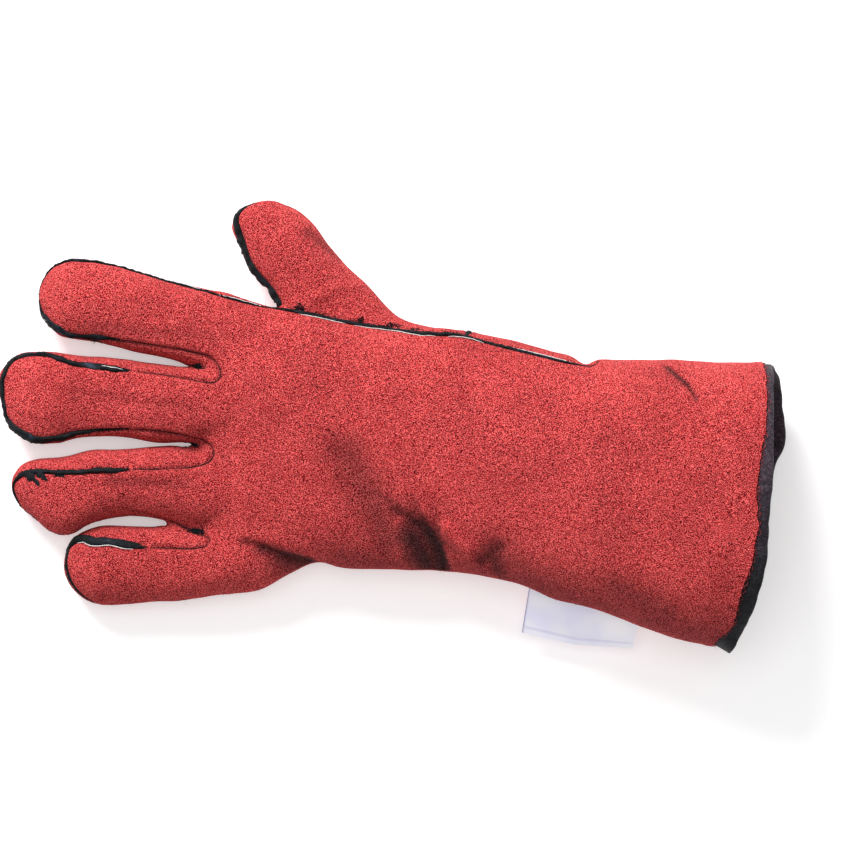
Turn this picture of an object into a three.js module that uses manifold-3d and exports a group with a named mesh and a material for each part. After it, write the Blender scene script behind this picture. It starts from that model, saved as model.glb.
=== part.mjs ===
// Left-hand welding gauntlet in red split leather, lying palm down with its back up.
// Millimetres. +X runs from the fingertips to the mouth of the cuff, +Y is the thumb side and +Z is up.
import * as THREE from 'three';
import { mergeVertices } from 'three/addons/utils/BufferGeometryUtils.js';
import Module from 'manifold-3d';

const wasm = await Module();
wasm.setup();

// Leather and trim
const wall = 2.0; // thickness of the split leather
const gap = 0.3; // clearance between two pieces that are sewn together
const weltThickness = 2.2; // strip of leather caught in a seam, measured up and down
const weltProud = 0.9; // how far a strip stands out of its seam
const weltDepth = 1.5; // how far a strip reaches into the wall
const bindingWidth = 6.5; // visible width of the tape on the mouth's edge
const bindingThickness = 1.0;
const labelThickness = 0.6;
const labelSeat = 2.6; // how far below the middle of the seam the label leaves the glove
const labelDrop = 8; // how far the label's free edge hangs below its seam
const leastSize = 0.8; // half-width and half-height that the inside of a fingertip still has

// Shape of a cross-section: a superellipse, widest below half its height, pressed flat on the ground
const roundness = 2.3; // power of the superellipse
const widestLevel = 0.46; // height of the widest level as a share of the section's height
const press = 1.15; // how far the round underside would reach past the ground, as a share of that level
const fingerTipReach = 18; // length from a tip over which its sections move in with the wall
const knuckleReach = 10; // the same at the knuckles, where the hand's own sections start
const knuckleRows = 4; // sections of the hand that are taken as they stand in the table

// Fingers. x is the station, y the middle line, width and height the outer size, and lift the space below.
const indexRows = [
  { x: -158.5, y: 58.0, width: 7, height: 7, lift: 8 },
  { x: -155.5, y: 57.0, width: 20, height: 15, lift: 3 },
  { x: -150.5, y: 56.3, width: 31.5, height: 21, lift: 0 },
  { x: -143.5, y: 56.7, width: 35.5, height: 24, lift: 0 },
  { x: -131.5, y: 55.6, width: 36, height: 25, lift: 0 },
  { x: -113.5, y: 50.6, width: 36, height: 26, lift: 0 },
  { x: -95.5, y: 45.7, width: 37, height: 27, lift: 0 },
  { x: -75, y: 40.0, width: 37, height: 28.5, lift: 0 },
  { x: -50, y: 34.0, width: 30, height: 29, lift: 0 },
];
const middleRows = [
  { x: -176.5, y: 19.0, width: 8, height: 7, lift: 8 },
  { x: -173, y: 16.0, width: 24, height: 15, lift: 3 },
  { x: -168, y: 14.0, width: 37, height: 21, lift: 0 },
  { x: -160.5, y: 12.7, width: 42, height: 24, lift: 0 },
  { x: -151, y: 12.5, width: 41.5, height: 25, lift: 0 },
  { x: -141, y: 13.0, width: 37, height: 25, lift: 0 },
  { x: -124, y: 12.7, width: 35, height: 26, lift: 0 },
  { x: -104.5, y: 10.5, width: 35.5, height: 28, lift: 0 },
  { x: -86, y: 8.0, width: 36, height: 31, lift: 0 },
  { x: -60, y: 4.0, width: 30, height: 31, lift: 0 },
];
const ringRows = [
  { x: -171, y: -26.0, width: 6, height: 7, lift: 8 },
  { x: -167.5, y: -26.3, width: 18, height: 14, lift: 3 },
  { x: -162, y: -27.3, width: 25, height: 20, lift: 0 },
  { x: -153.5, y: -30.5, width: 33.5, height: 23, lift: 0 },
  { x: -145, y: -30.7, width: 35.5, height: 25, lift: 0 },
  { x: -136, y: -27.3, width: 33, height: 25, lift: 0 },
  { x: -122, y: -25.4, width: 30, height: 26, lift: 0 },
  { x: -104.5, y: -25.6, width: 32.5, height: 28, lift: 0 },
  { x: -86, y: -28.5, width: 36, height: 30, lift: 0 },
  { x: -60, y: -30.0, width: 30, height: 30, lift: 0 },
];
const littleRows = [
  { x: -147, y: -62.3, width: 6, height: 7, lift: 8 },
  { x: -144.5, y: -62.0, width: 19, height: 14, lift: 3 },
  { x: -139.5, y: -62.3, width: 28.5, height: 20, lift: 0 },
  { x: -131.5, y: -62.7, width: 35, height: 24, lift: 0 },
  { x: -120, y: -62.5, width: 35, height: 25, lift: 0 },
  { x: -104.5, y: -61.3, width: 33.5, height: 26, lift: 0 },
  { x: -88, y: -60.5, width: 32, height: 28, lift: 0 },
  { x: -65, y: -57.0, width: 30, height: 29, lift: 0 },
];

// Thumb, with stations counted from its tip along its own line
const thumbTip = { x: -64, y: 100 };
const thumbLine = -53; // degrees from +X
const thumbRows = [
  { x: 0.2, y: -4.5, width: 8, height: 7, lift: 8 },
  { x: 3, y: -3.2, width: 19, height: 14, lift: 3 },
  { x: 8, y: -1.6, width: 25.5, height: 19, lift: 0 },
  { x: 16.5, y: 0.0, width: 31.5, height: 23, lift: 0 },
  { x: 26, y: 0.4, width: 33.5, height: 25, lift: 0 },
  { x: 37, y: 0.8, width: 32.5, height: 25, lift: 0 },
  { x: 50, y: 0.4, width: 36, height: 25, lift: 0 },
  { x: 62, y: -1.0, width: 43, height: 25, lift: 0 },
  { x: 72, y: -3.6, width: 50, height: 26, lift: 0 },
  { x: 81, y: -4.5, width: 55, height: 27, lift: 0 },
  { x: 92, y: 0.5, width: 61, height: 28, lift: 0 },
  { x: 104, y: 11.5, width: 63, height: 28, lift: 0 },
];
const thumbSeam = { left: 16, right: 8, halfWidth: 16 }; // height of the thumb's seam on its two sides
const thumbSpan = { reach: 60, start: -20, end: 140 }; // stretch of the thumb's line that its seam cuts

// Hand and cuff, from the knuckles to past the mouth
const bodyRows = [
  { x: -92, y: -7.5, width: 92, height: 5, lift: 10 },
  { x: -89.5, y: -7.5, width: 118, height: 13, lift: 4 },
  { x: -84, y: -7.2, width: 130, height: 22, lift: 0 },
  { x: -77, y: -7.4, width: 136, height: 27.5, lift: 0 },
  { x: -68, y: -8.0, width: 133, height: 32, lift: 0 },
  { x: -59, y: -8.8, width: 128, height: 35.5, lift: 0 },
  { x: -46, y: -7.0, width: 117, height: 40, lift: 0 },
  { x: -33, y: -5.8, width: 109, height: 42, lift: 0 },
  { x: -24, y: -8.3, width: 109.5, height: 43, lift: 0 },
  { x: -5, y: -10.5, width: 107, height: 45, lift: 0 },
  { x: 21, y: -10.3, width: 108, height: 49, lift: 0 },
  { x: 39, y: -12.8, width: 107, height: 53, lift: 0 },
  { x: 57, y: -16.8, width: 108, height: 58, lift: 0 },
  { x: 74, y: -22.5, width: 110, height: 62, lift: 0 },
  { x: 92, y: -26.6, width: 112, height: 66, lift: 0 },
  { x: 110, y: -30.0, width: 118, height: 69, lift: 0 },
  { x: 128, y: -33.3, width: 124.5, height: 71, lift: 0 },
  { x: 146, y: -34.8, width: 126.5, height: 72, lift: 1.4 },
  { x: 182, y: -35.5, width: 126.5, height: 72, lift: 1.4 },
];
const bodyStep = { outside: 12, inside: 15 }; // spacing of the worked-out sections along hand and cuff
const bodySides = { outside: 26, inside: 16 }; // points round each of them
const fingerSides = { outside: 14, inside: 8 };

// Folds and dents in the back. Each lies along a line, with its reach to either side and its depth.
const folds = [
  { name: 'wrist dent', fromX: -17, fromY: -17, toX: 22, toY: -58, reach: 14, depth: 6 },
  { name: 'ridge beside it', fromX: 18, fromY: -34, toX: 34, toY: -58, reach: 8, depth: -4 },
  { name: 'hollow past the ridge', fromX: 40, fromY: -54, toX: 52, toY: -66, reach: 9, depth: 4 },
  { name: 'little finger crease', fromX: -68, fromY: -51, toX: -36, toY: -60, reach: 7, depth: 5 },
  { name: 'cuff crease', fromX: 121, fromY: 24, toX: 136, toY: 12, reach: 7, depth: 3 },
];

// Seam between back and palm, as its height on the thumb side and on the little-finger side
const seamRows = [
  { x: -200, thumbSide: 15.5, littleSide: 15.5 },
  { x: -105, thumbSide: 16.5, littleSide: 15.5 },
  { x: -80, thumbSide: 20, littleSide: 14 },
  { x: -45, thumbSide: 28, littleSide: 15 },
  { x: 0, thumbSide: 31, littleSide: 17 },
  { x: 25, thumbSide: 34.5, littleSide: 19 },
  { x: 50, thumbSide: 38, littleSide: 21 },
  { x: 75, thumbSide: 38.5, littleSide: 23 },
  { x: 88, thumbSide: 36, littleSide: 24 },
  { x: 101, thumbSide: 32, littleSide: 25 },
  { x: 115, thumbSide: 29.5, littleSide: 26 },
  { x: 220, thumbSide: 29, littleSide: 27 },
];
const thumbSideY = 45; // where the two heights in that table are measured
const littleSideY = -75;
const seamReach = 110; // how far the seam's surface runs to either side
const sky = 200; // a height above every piece

// Edge of the mouth, nearer the fingers on the back than on the palm side
const mouthRows = [
  { y: -140, back: 148, palm: 148 },
  { y: -98, back: 149, palm: 150 },
  { y: -90, back: 155, palm: 156 },
  { y: -78, back: 158.8, palm: 160 },
  { y: -65, back: 163, palm: 164.5 },
  { y: -40, back: 166, palm: 168.5 },
  { y: -15, back: 167.5, palm: 173 },
  { y: 8, back: 167.5, palm: 175 },
  { y: 28, back: 166, palm: 173.5 },
  { y: 80, back: 166, palm: 173.5 },
];
const mouthHeight = 73; // height over which the edge runs from its palm side to its back side
const mouthBelow = 20; // how far the mouth's cut runs below the ground
const mouthAbove = 40; // how far it runs above the cuff
const mouthEnd = 260; // a station past the end of the cuff

// Gussets between the fingers, seen from above: each is a rounded notch from its open end to its foot
const gussetBlock = { bottom: -30, height: 120 }; // upright block that cuts a gusset out of the hand
const gussets = [
  {
    name: 'fourchette_index_middle',
    outline: [[-122, 38.2], [-102, 35], [-88, 32.3], [-80, 29], [-76.3, 23.7], [-80, 19.4], [-90, 21],
      [-116, 24.6]],
  },
  {
    name: 'fourchette_middle_ring',
    outline: [[-118, -1.6], [-104, -3], [-91, -5], [-82, -8.3], [-79.7, -12.5], [-83, -16.6], [-91, -18.4],
      [-118, -19.3]],
  },
  {
    name: 'fourchette_ring_little',
    outline: [[-118, -36.8], [-101, -40.5], [-92, -44], [-83, -48], [-81.5, -51.5], [-84, -54.2], [-92, -54.8],
      [-110, -54]],
  },
];

// Label in the side seam: its two ends on the seam and its visible depth
const label = { fromX: 60, toX: 109, reach: 18, rise: 8, skew: -2.5 };

const leatherRed = { color: 0xb43a3c, roughness: 0.95, metalness: 0 };
const weltBlack = { color: 0x1c1b1d, roughness: 0.85, metalness: 0 };
const tapeGrey = { color: 0x39373c, roughness: 0.9, metalness: 0 };
const labelWhite = { color: 0xd5d3e2, roughness: 0.7, metalness: 0 };

// Value of one column at x, on a smooth curve through the rows
function smoothColumn(rows, key, x, column) {
  const last = rows.length - 1;
  if (x <= rows[0][key]) return rows[0][column];
  if (x >= rows[last][key]) return rows[last][column];
  let i = 0;
  while (x > rows[i + 1][key]) i += 1;
  const before = rows[Math.max(i - 1, 0)];
  const start = rows[i];
  const end = rows[i + 1];
  const after = rows[Math.min(i + 2, last)];
  const length = end[key] - start[key];
  const t = (x - start[key]) / length;
  const slope = (a, b) => ((b[column] - a[column]) / (b[key] - a[key])) * length;
  const slopeStart = slope(before, end);
  const slopeEnd = slope(start, after);
  const t2 = t * t;
  const t3 = t2 * t;
  return (
    (2 * t3 - 3 * t2 + 1) * start[column] +
    (t3 - 2 * t2 + t) * slopeStart +
    (3 * t2 - 2 * t3) * end[column] +
    (t3 - t2) * slopeEnd
  );
}

function smoothRow(rows, x) {
  const at = (column) => smoothColumn(rows, 'x', x, column);
  return { x, y: at('y'), width: at('width'), height: at('height'), lift: Math.max(0, at('lift')) };
}

// Depth by which the folds press a point of the back downwards
function foldDepth(x, y) {
  let depth = 0;
  for (const fold of folds) {
    const alongX = fold.toX - fold.fromX;
    const alongY = fold.toY - fold.fromY;
    const share = ((x - fold.fromX) * alongX + (y - fold.fromY) * alongY) / (alongX ** 2 + alongY ** 2);
    const t = Math.min(1, Math.max(0, share));
    const distance = Math.hypot(x - fold.fromX - t * alongX, y - fold.fromY - t * alongY);
    depth += fold.depth * Math.exp(-((distance / fold.reach) ** 2));
  }
  return depth;
}

// Point of a section at an angle, grown by offset (negative for the inside of the wall)
function sectionPoint(row, angle, offset, folded) {
  const bend = (value) => Math.sign(value) * Math.abs(value) ** (2 / roundness);
  const level = row.lift + row.height * widestLevel;
  const half = Math.max(leastSize, row.width / 2 + offset);
  const up = Math.max(leastSize, row.lift + row.height - level + offset);
  const down = Math.max(leastSize, (level - row.lift) * press + offset);
  const across = half * bend(Math.cos(angle));
  const rise = bend(Math.sin(angle));
  const y = row.y + across;
  const drop = folded && rise > 0 ? foldDepth(row.x, y) * rise : 0;
  const z = level + (rise > 0 ? up : down) * rise - drop;
  return [row.x, y, Math.max(z, Math.max(0, row.lift - offset))];
}

// Closed solid through a row of sections. The tip moves in with the wall, and the far end stays.
function loft(rows, options) {
  const { offset, count = fingerSides, folded = false } = options;
  const { place = (point) => point, tipReach = fingerTipReach } = options;
  const sides = offset < 0 ? count.inside : count.outside;
  const positions = [];
  const indices = [];
  const tipX = rows[0].x;
  rows.forEach((row) => {
    const fromTip = Math.min(1, (row.x - tipX) / tipReach);
    const moved = { ...row, x: row.x - offset * (1 - fromTip) };
    for (let k = 0; k < sides; k += 1) {
      positions.push(...place(sectionPoint(moved, (2 * Math.PI * k) / sides, offset, folded)));
    }
  });
  const ring = (i, k) => i * sides + (k % sides);
  for (let i = 0; i < rows.length - 1; i += 1) {
    for (let k = 0; k < sides; k += 1) {
      indices.push(ring(i, k), ring(i, k + 1), ring(i + 1, k + 1));
      indices.push(ring(i, k), ring(i + 1, k + 1), ring(i + 1, k));
    }
  }
  const closeEnd = (i, turned) => {
    const first = positions.slice(ring(i, 0) * 3, (ring(i, 0) + sides) * 3);
    const middle = [0, 1, 2].map((axis) => {
      let sum = 0;
      for (let k = 0; k < sides; k += 1) sum += first[k * 3 + axis];
      return sum / sides;
    });
    const centre = positions.length / 3;
    positions.push(...middle);
    for (let k = 0; k < sides; k += 1) {
      const pair = turned ? [ring(i, k + 1), ring(i, k)] : [ring(i, k), ring(i, k + 1)];
      indices.push(centre, ...pair);
    }
  };
  closeEnd(0, true);
  closeEnd(rows.length - 1, false);
  return solid(positions, indices);
}

function solid(positions, indices) {
  const mesh = new wasm.Mesh({
    numProp: 3,
    vertProperties: Float32Array.from(positions),
    triVerts: Uint32Array.from(indices),
  });
  return new wasm.Manifold(mesh);
}

// Solid from a three.js geometry
function solidFrom(geometry) {
  const bare = geometry.clone();
  bare.deleteAttribute('normal');
  bare.deleteAttribute('uv');
  const merged = mergeVertices(bare, 1e-4);
  return solid(Array.from(merged.attributes.position.array), Array.from(merged.index.array));
}

// Block between two ruled faces: at each row, a pair of near points and a pair of far points
function ruledBlock(rows, corners) {
  const positions = rows.flatMap((row) => corners(row).flat());
  const indices = [];
  const quad = (a, b, c, d) => indices.push(a, b, c, a, c, d);
  const last = (rows.length - 1) * 4;
  for (let i = 0; i < rows.length - 1; i += 1) {
    for (let k = 0; k < 4; k += 1) {
      const next = (k + 1) % 4;
      quad(i * 4 + k, i * 4 + next, i * 4 + 4 + next, i * 4 + 4 + k);
    }
  }
  quad(0, 3, 2, 1);
  quad(last, last + 1, last + 2, last + 3);
  return solid(positions, indices);
}

// Height of the seam between back and palm in the plane of a row
function seamHeight(row, y) {
  const share = (y - littleSideY) / (thumbSideY - littleSideY);
  return row.littleSide + (row.thumbSide - row.littleSide) * share;
}

// Height of the seam at any point, straight between the rows
function seamAt(x, y) {
  const i = seamRows.findIndex((row) => row.x >= x);
  const start = seamRows[i - 1];
  const end = seamRows[i];
  const share = (x - start.x) / (end.x - start.x);
  return seamHeight(start, y) * (1 - share) + seamHeight(end, y) * share;
}

// Everything above the seam's surface raised by a distance
function aboveSeam(raise) {
  return ruledBlock(seamRows, (row) => [
    [row.x, seamReach, seamHeight(row, seamReach) + raise],
    [row.x, seamReach, sky],
    [row.x, -seamReach, sky],
    [row.x, -seamReach, seamHeight(row, -seamReach) + raise],
  ]);
}

// Everything past the mouth's edge moved by a distance
function pastMouth(shift) {
  const slope = (row) => (row.palm - row.back) / mouthHeight;
  return ruledBlock(mouthRows, (row) => [
    [row.palm + shift + slope(row) * mouthBelow, row.y, -mouthBelow],
    [row.back + shift - slope(row) * mouthAbove, row.y, mouthHeight + mouthAbove],
    [mouthEnd, row.y, mouthHeight + mouthAbove],
    [mouthEnd, row.y, -mouthBelow],
  ]);
}

// Outline moved outwards by a distance, with its corners kept
function offsetOutline(outline, distance) {
  const points = outline.map(([x, y]) => new THREE.Vector2(x, y));
  const turn = THREE.ShapeUtils.area(points) > 0 ? 1 : -1;
  const normal = (from, to) => new THREE.Vector2((to.y - from.y) * turn, (from.x - to.x) * turn).normalize();
  return points.map((point, i) => {
    const before = points[(i + points.length - 1) % points.length];
    const after = points[(i + 1) % points.length];
    const first = normal(before, point);
    const second = normal(point, after);
    const both = first.clone().add(second).normalize();
    return point.clone().addScaledVector(both, distance / Math.max(0.4, both.dot(first)));
  });
}

// Upright block over an outline drawn from above, grown by a distance
function uprightBlock(outline, grow) {
  const shape = new THREE.Shape(offsetOutline(outline, grow));
  const geometry = new THREE.ExtrudeGeometry(shape, { depth: gussetBlock.height, bevelEnabled: false });
  geometry.translate(0, 0, gussetBlock.bottom);
  return solidFrom(geometry);
}

function union(solids) {
  return solids.reduce((sum, next) => sum.add(next));
}

function largest(whole) {
  return whole.decompose().reduce((best, next) => (next.volume() > best.volume() ? next : best));
}

// Hand and cuff without the fingers
function bodyLimb(offset) {
  const rows = bodyRows.slice(0, knuckleRows);
  const start = rows[knuckleRows - 1].x;
  const length = bodyRows[bodyRows.length - 1].x - start;
  const steps = Math.round(length / (offset < 0 ? bodyStep.inside : bodyStep.outside));
  for (let i = 1; i <= steps; i += 1) rows.push(smoothRow(bodyRows, start + (length * i) / steps));
  return loft(rows, { offset, count: bodySides, folded: true, tipReach: knuckleReach });
}

function handLimb(offset) {
  const fingers = [indexRows, middleRows, ringRows, littleRows].map((rows) => loft(rows, { offset }));
  return union([bodyLimb(offset), ...fingers]);
}

// From the thumb's own line to its place beside the hand
function placeThumb([x, y, z]) {
  const angle = THREE.MathUtils.degToRad(thumbLine);
  return [
    thumbTip.x + x * Math.cos(angle) - y * Math.sin(angle),
    thumbTip.y + x * Math.sin(angle) + y * Math.cos(angle),
    z,
  ];
}

function thumbLimb(offset) {
  return loft(thumbRows, { offset, place: placeThumb });
}

function aboveThumbSeam(raise) {
  const { reach, start, end } = thumbSpan;
  const slope = (thumbSeam.right - thumbSeam.left) / (2 * thumbSeam.halfWidth);
  const middle = (thumbSeam.right + thumbSeam.left) / 2;
  return ruledBlock([{ x: start }, { x: end }], ({ x }) => [
    placeThumb([x, reach, middle + slope * reach + raise]),
    placeThumb([x, reach, sky]),
    placeThumb([x, -reach, sky]),
    placeThumb([x, -reach, middle - slope * reach + raise]),
  ]);
}

// Ring of leather strip in a seam: a band of the limb's wall between two copies of the seam's surface
function seamBand(limb, above, grow) {
  const ring = limb(weltProud + grow).subtract(limb(-weltDepth - grow));
  const half = weltThickness / 2 + grow;
  return ring.intersect(above(-half)).subtract(above(half));
}

// Tape folded over the mouth's edge, clear of the leather by the gap
function makeBinding() {
  const skin = bodyLimb(gap + bindingThickness).subtract(bodyLimb(-wall - gap - bindingThickness));
  const leather = bodyLimb(gap).subtract(bodyLimb(-wall - gap)).subtract(pastMouth(gap));
  const band = skin.subtract(pastMouth(gap + bindingThickness)).intersect(pastMouth(-bindingWidth));
  return band.subtract(leather);
}

// Outer face of the cuff on the little-finger side, at a station and height
function littleSideFace(x, z) {
  const row = smoothRow(bodyRows, x);
  const level = row.lift + row.height * widestLevel;
  const reach = z > level ? row.height * (1 - widestLevel) : (level - row.lift) * press;
  const share = Math.min(0.999, Math.abs(z - level) / reach);
  return row.y - (row.width / 2) * (1 - share ** roundness) ** (1 / roundness);
}

// Tag that hangs from the side seam, on the underside of the welt
function makeLabel() {
  const steps = 6;
  const rows = [];
  for (let i = 0; i <= steps; i += 1) {
    const share = i / steps;
    const x = label.fromX + (label.toX - label.fromX) * share;
    const edge = littleSideFace(x, seamAt(x, littleSideY));
    const top = seamAt(x, edge) - labelSeat;
    rows.push({ x, share, top, face: littleSideFace(x, top) - gap });
  }
  return ruledBlock(rows, (row) => {
    const farY = row.face - label.reach + label.rise * row.share;
    const far = row.x + label.skew;
    return [
      [row.x, row.face, row.top - labelThickness],
      [row.x, row.face, row.top],
      [far, farY, row.top - labelDrop],
      [far, farY, row.top - labelDrop - labelThickness],
    ];
  });
}

function toMesh(name, whole, finish) {
  const { vertProperties, triVerts } = whole.getMesh();
  const geometry = new THREE.BufferGeometry();
  geometry.setAttribute('position', new THREE.BufferAttribute(vertProperties, 3));
  geometry.setIndex(new THREE.BufferAttribute(triVerts, 1));
  geometry.computeVertexNormals();
  const mesh = new THREE.Mesh(geometry, new THREE.MeshStandardMaterial(finish));
  mesh.name = name;
  return mesh;
}

// Glove: the hand is a hollow shell, cut into its panels along the seam and round the gussets
const half = weltThickness / 2;
const thumbInside = thumbLimb(-wall);
const handShell = handLimb(0).subtract(handLimb(-wall)).subtract(thumbInside).subtract(pastMouth(0));
const roomForGussets = union(gussets.map(({ outline }) => uprightBlock(outline, gap)));
const panels = handShell.subtract(roomForGussets);
const glove = new THREE.Group();
glove.add(toMesh('back_panel', largest(panels.intersect(aboveSeam(half + gap))), leatherRed));
glove.add(toMesh('palm_panel', largest(panels.subtract(aboveSeam(-half - gap))), leatherRed));
gussets.forEach(({ name, outline }) => {
  glove.add(toMesh(name, largest(handShell.intersect(uprightBlock(outline, 0))), leatherRed));
});

// Thumb: its two halves end at the hand, below the welt on the thumb side
const roomForWelt = seamBand(handLimb, aboveSeam, gap);
const besideHand = handLimb(gap).add(roomForWelt);
const thumbShell = thumbLimb(0).subtract(thumbInside).subtract(besideHand);
glove.add(toMesh('thumb_outer', largest(thumbShell.intersect(aboveThumbSeam(half + gap))), leatherRed));
glove.add(toMesh('thumb_inner', largest(thumbShell.subtract(aboveThumbSeam(-half - gap))), leatherRed));
const thumbWelt = seamBand(thumbLimb, aboveThumbSeam, 0).subtract(besideHand);
glove.add(toMesh('welt_thumb', largest(thumbWelt), weltBlack));

// Welts: the strip in the main seam is broken by the gussets into one length for each finger
const weltNames = ['welt_little', 'welt_ring', 'welt_middle', 'welt_index'];
const wholeWelt = seamBand(handLimb, aboveSeam, 0).subtract(roomForGussets);
const weltBand = wholeWelt.subtract(pastMouth(-bindingWidth - gap));
const middleY = (piece) => {
  const box = piece.boundingBox();
  return (box.min[1] + box.max[1]) / 2;
};
const strips = weltBand.decompose().sort((a, b) => b.volume() - a.volume()).slice(0, weltNames.length);
strips.sort((a, b) => middleY(a) - middleY(b));
strips.forEach((strip, i) => glove.add(toMesh(weltNames[i], strip, weltBlack)));

glove.add(toMesh('cuff_binding', largest(makeBinding()), tapeGrey));
glove.add(toMesh('size_label', makeLabel(), labelWhite));

// The origin is under the middle of the whole glove, on the ground
const box = new THREE.Box3().setFromObject(glove);
const centre = box.getCenter(new THREE.Vector3());
glove.position.set(-centre.x, -centre.y, -box.min.z);

export default glove;
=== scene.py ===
"""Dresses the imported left-hand welding gauntlet: suede panels, welts, thread, cuff tape and a blank tag."""
import math

import bpy
import numpy as np
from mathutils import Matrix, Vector, noise
from mathutils.kdtree import KDTree


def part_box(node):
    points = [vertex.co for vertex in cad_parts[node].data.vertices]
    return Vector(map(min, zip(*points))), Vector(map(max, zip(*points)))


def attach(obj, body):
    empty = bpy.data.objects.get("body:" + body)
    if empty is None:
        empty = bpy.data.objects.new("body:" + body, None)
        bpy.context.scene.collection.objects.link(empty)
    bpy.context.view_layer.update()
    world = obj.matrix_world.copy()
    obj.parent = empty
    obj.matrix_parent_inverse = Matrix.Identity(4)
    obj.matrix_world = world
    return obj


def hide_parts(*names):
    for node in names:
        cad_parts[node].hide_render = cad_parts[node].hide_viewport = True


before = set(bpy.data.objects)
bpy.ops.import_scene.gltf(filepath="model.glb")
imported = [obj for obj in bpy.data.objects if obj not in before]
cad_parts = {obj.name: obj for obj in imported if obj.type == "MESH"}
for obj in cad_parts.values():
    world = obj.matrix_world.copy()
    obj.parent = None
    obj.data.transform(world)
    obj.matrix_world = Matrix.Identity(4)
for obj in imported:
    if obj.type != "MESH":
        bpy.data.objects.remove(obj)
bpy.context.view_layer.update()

# All sizes below are millimetres in the drawing frame of the CAD source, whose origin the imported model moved.
MM = 0.001
GUSSET_START = -122.0  # lowest x of the index-middle gusset in the drawing frame
GUSSET_TOP = 38.2  # highest y of the same gusset
gusset_low, gusset_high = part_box("fourchette_index_middle")
SHIFT = np.array([gusset_low[0] / MM - GUSSET_START, gusset_high[1] / MM - GUSSET_TOP, 0.0])

# Leather
WALL = 2.0
PLAY = 0.07  # half the clearance between two sewn panels
VOXEL = 1.25  # grain of the union of the limbs
SWELL_LENGTH, SWELL_HEIGHT = 26.0, 0.9  # slow unevenness of worked leather
PUCKER_LENGTH, PUCKER_HEIGHT = 9.0, 0.3
EDGE_LENGTH, EDGE_WAVINESS = 3.0, 0.7  # waves of the cut edge on the tape
GROOVE_DEPTH, GROOVE_REACH = 0.9, 0.8  # groove along each seam
ROLL_HEIGHT, ROLL_PLACE, ROLL_REACH = 0.35, 2.6, 1.5  # low roll of leather beside the groove
# Shade painted into the suede as a dark line along each seam's groove
SEAM_SHADE, SEAM_SHADE_REACH = 0.6, 0.7  # dark line in the groove

# Section of a limb, as in the CAD source
ROUNDNESS = 2.3  # power of its rounded outline, 2 for an ellipse
WIDEST_LEVEL = 0.46  # share of the height where a limb is widest
PRESS = 1.15  # reach of the lower half, over 1 so that the ground flattens it
LIMB_SIDES, BODY_SIDES = 72, 120

# Seams
RUN_GAP = 24  # longest break, in points, that a seam bridges
FEWEST_POINTS, SHORTEST_RUN = 12, 20  # smaller bits of a rim aren't seams
SMALLEST_SHARE = 0.15  # bits of leather smaller than this share of the largest are dropped
WELT_ROOT = 1.8  # how deep a welt sits in its seam
WELT_TAPER = 7  # length over which a welt's end sinks in
WELT_ROUGHNESS = 0.12
FRAY_HEIGHT = 0.55  # a welt frays where it stands higher than this
GUSSET_END_MARGIN = 0.6  # points this close to a gusset's short end stay plain
THREAD_RADIUS, DARK_THREAD_RADIUS, STITCH_RADIUS, KNOT_FIBRE_RADIUS = 0.19, 0.16, 0.13, 0.24
DARK_THREAD_LIFT = 0.25  # over the groove's floor
THREAD_RISE = 1.08  # place of a thread on a welt, as a share of the welt's height
DASH_MARGIN = 3  # points left bare at the ends of a path
DIVE_DEPTH = 0.8
STITCH_TURN = 1.9  # radians of the zigzag for each point of the mouth's edge

# Tape round the mouth
TAPE_WIDTH = 6.6  # beyond the leather on the palm side
TAPE_LEG = 5.0  # inside the leather
TAPE_TOP, TAPE_BOTTOM = -0.7, -3.0  # its two faces, measured from the leather's surface
LOBE_PLACE, LOBE_REACH, LOBE_HEIGHT = -95.5, 3.5, 4.6  # loose tape at the lower corner: y, reach, height

# Tag
TAG_THICKNESS = 0.4
TAG_SKEW = 3.2
TAG_HEM, TAG_HEM_PLACE, TAG_HEM_LINE = 0.25, 0.84, 0.86  # height of the hem, its place and its line's
TAG_LINE_WIDTH = 0.02
TAG_NEAR_RIGHT = -84.0  # y of its right corner in the seam
TAG_FAR_EDGE = [(57.8, -92.6), (81.2, -98), (107.3, -99.6)]  # columns: x, y

# View and light
SENSOR = 36.0
CAMERA_HEIGHT = 3000.0
VIEW_CENTRE = (15.3, -0.45)  # x, y under the camera
VIEW_WIDTH = 384.3  # of the photo's frame on the ground
KEY_POWER, TOP_POWER = 64, 12  # watts
ROOM_LIGHT = 0.45
FLOOR_GLOW, TAG_GLOW = 0.42, 0.12
WHITE = (1.0, 1.0, 1.0)

# Seeds of the waves on each piece
THUMB_WELT_SEED, TAPE_SEED, STITCH_SEED = 31, 21, 41

# Columns: station x, middle y, width, height, lift off the ground
INDEX = [
    (-158.5, 58, 7, 7, 8), (-155.5, 57, 20, 15, 3), (-150.5, 56.3, 31.5, 21, 0),
    (-143.5, 56.7, 35.5, 24, 0), (-131.5, 55.6, 36, 25, 0), (-113.5, 50.6, 36, 26, 0),
    (-104, 48.3, 35.2, 26.5, 0), (-95.5, 46.1, 35.2, 27, 0), (-75, 40, 37, 28.5, 0), (-50, 34, 30, 29, 0),
    (-22, 24, 14, 18, 3),
]
MIDDLE = [
    (-176.5, 19, 8, 7, 8), (-173, 16, 24, 15, 3), (-168, 14, 37, 21, 0), (-160.5, 12.7, 42, 24, 0),
    (-151, 12.5, 41.5, 25, 0), (-141, 13, 37, 25, 0), (-124, 12.7, 35, 26, 0), (-104.5, 10.4, 35.5, 28, 0),
    (-95, 9.7, 33.8, 29.5, 0), (-86, 9.2, 34, 31, 0), (-60, 4, 30, 31, 0),
]
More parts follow.
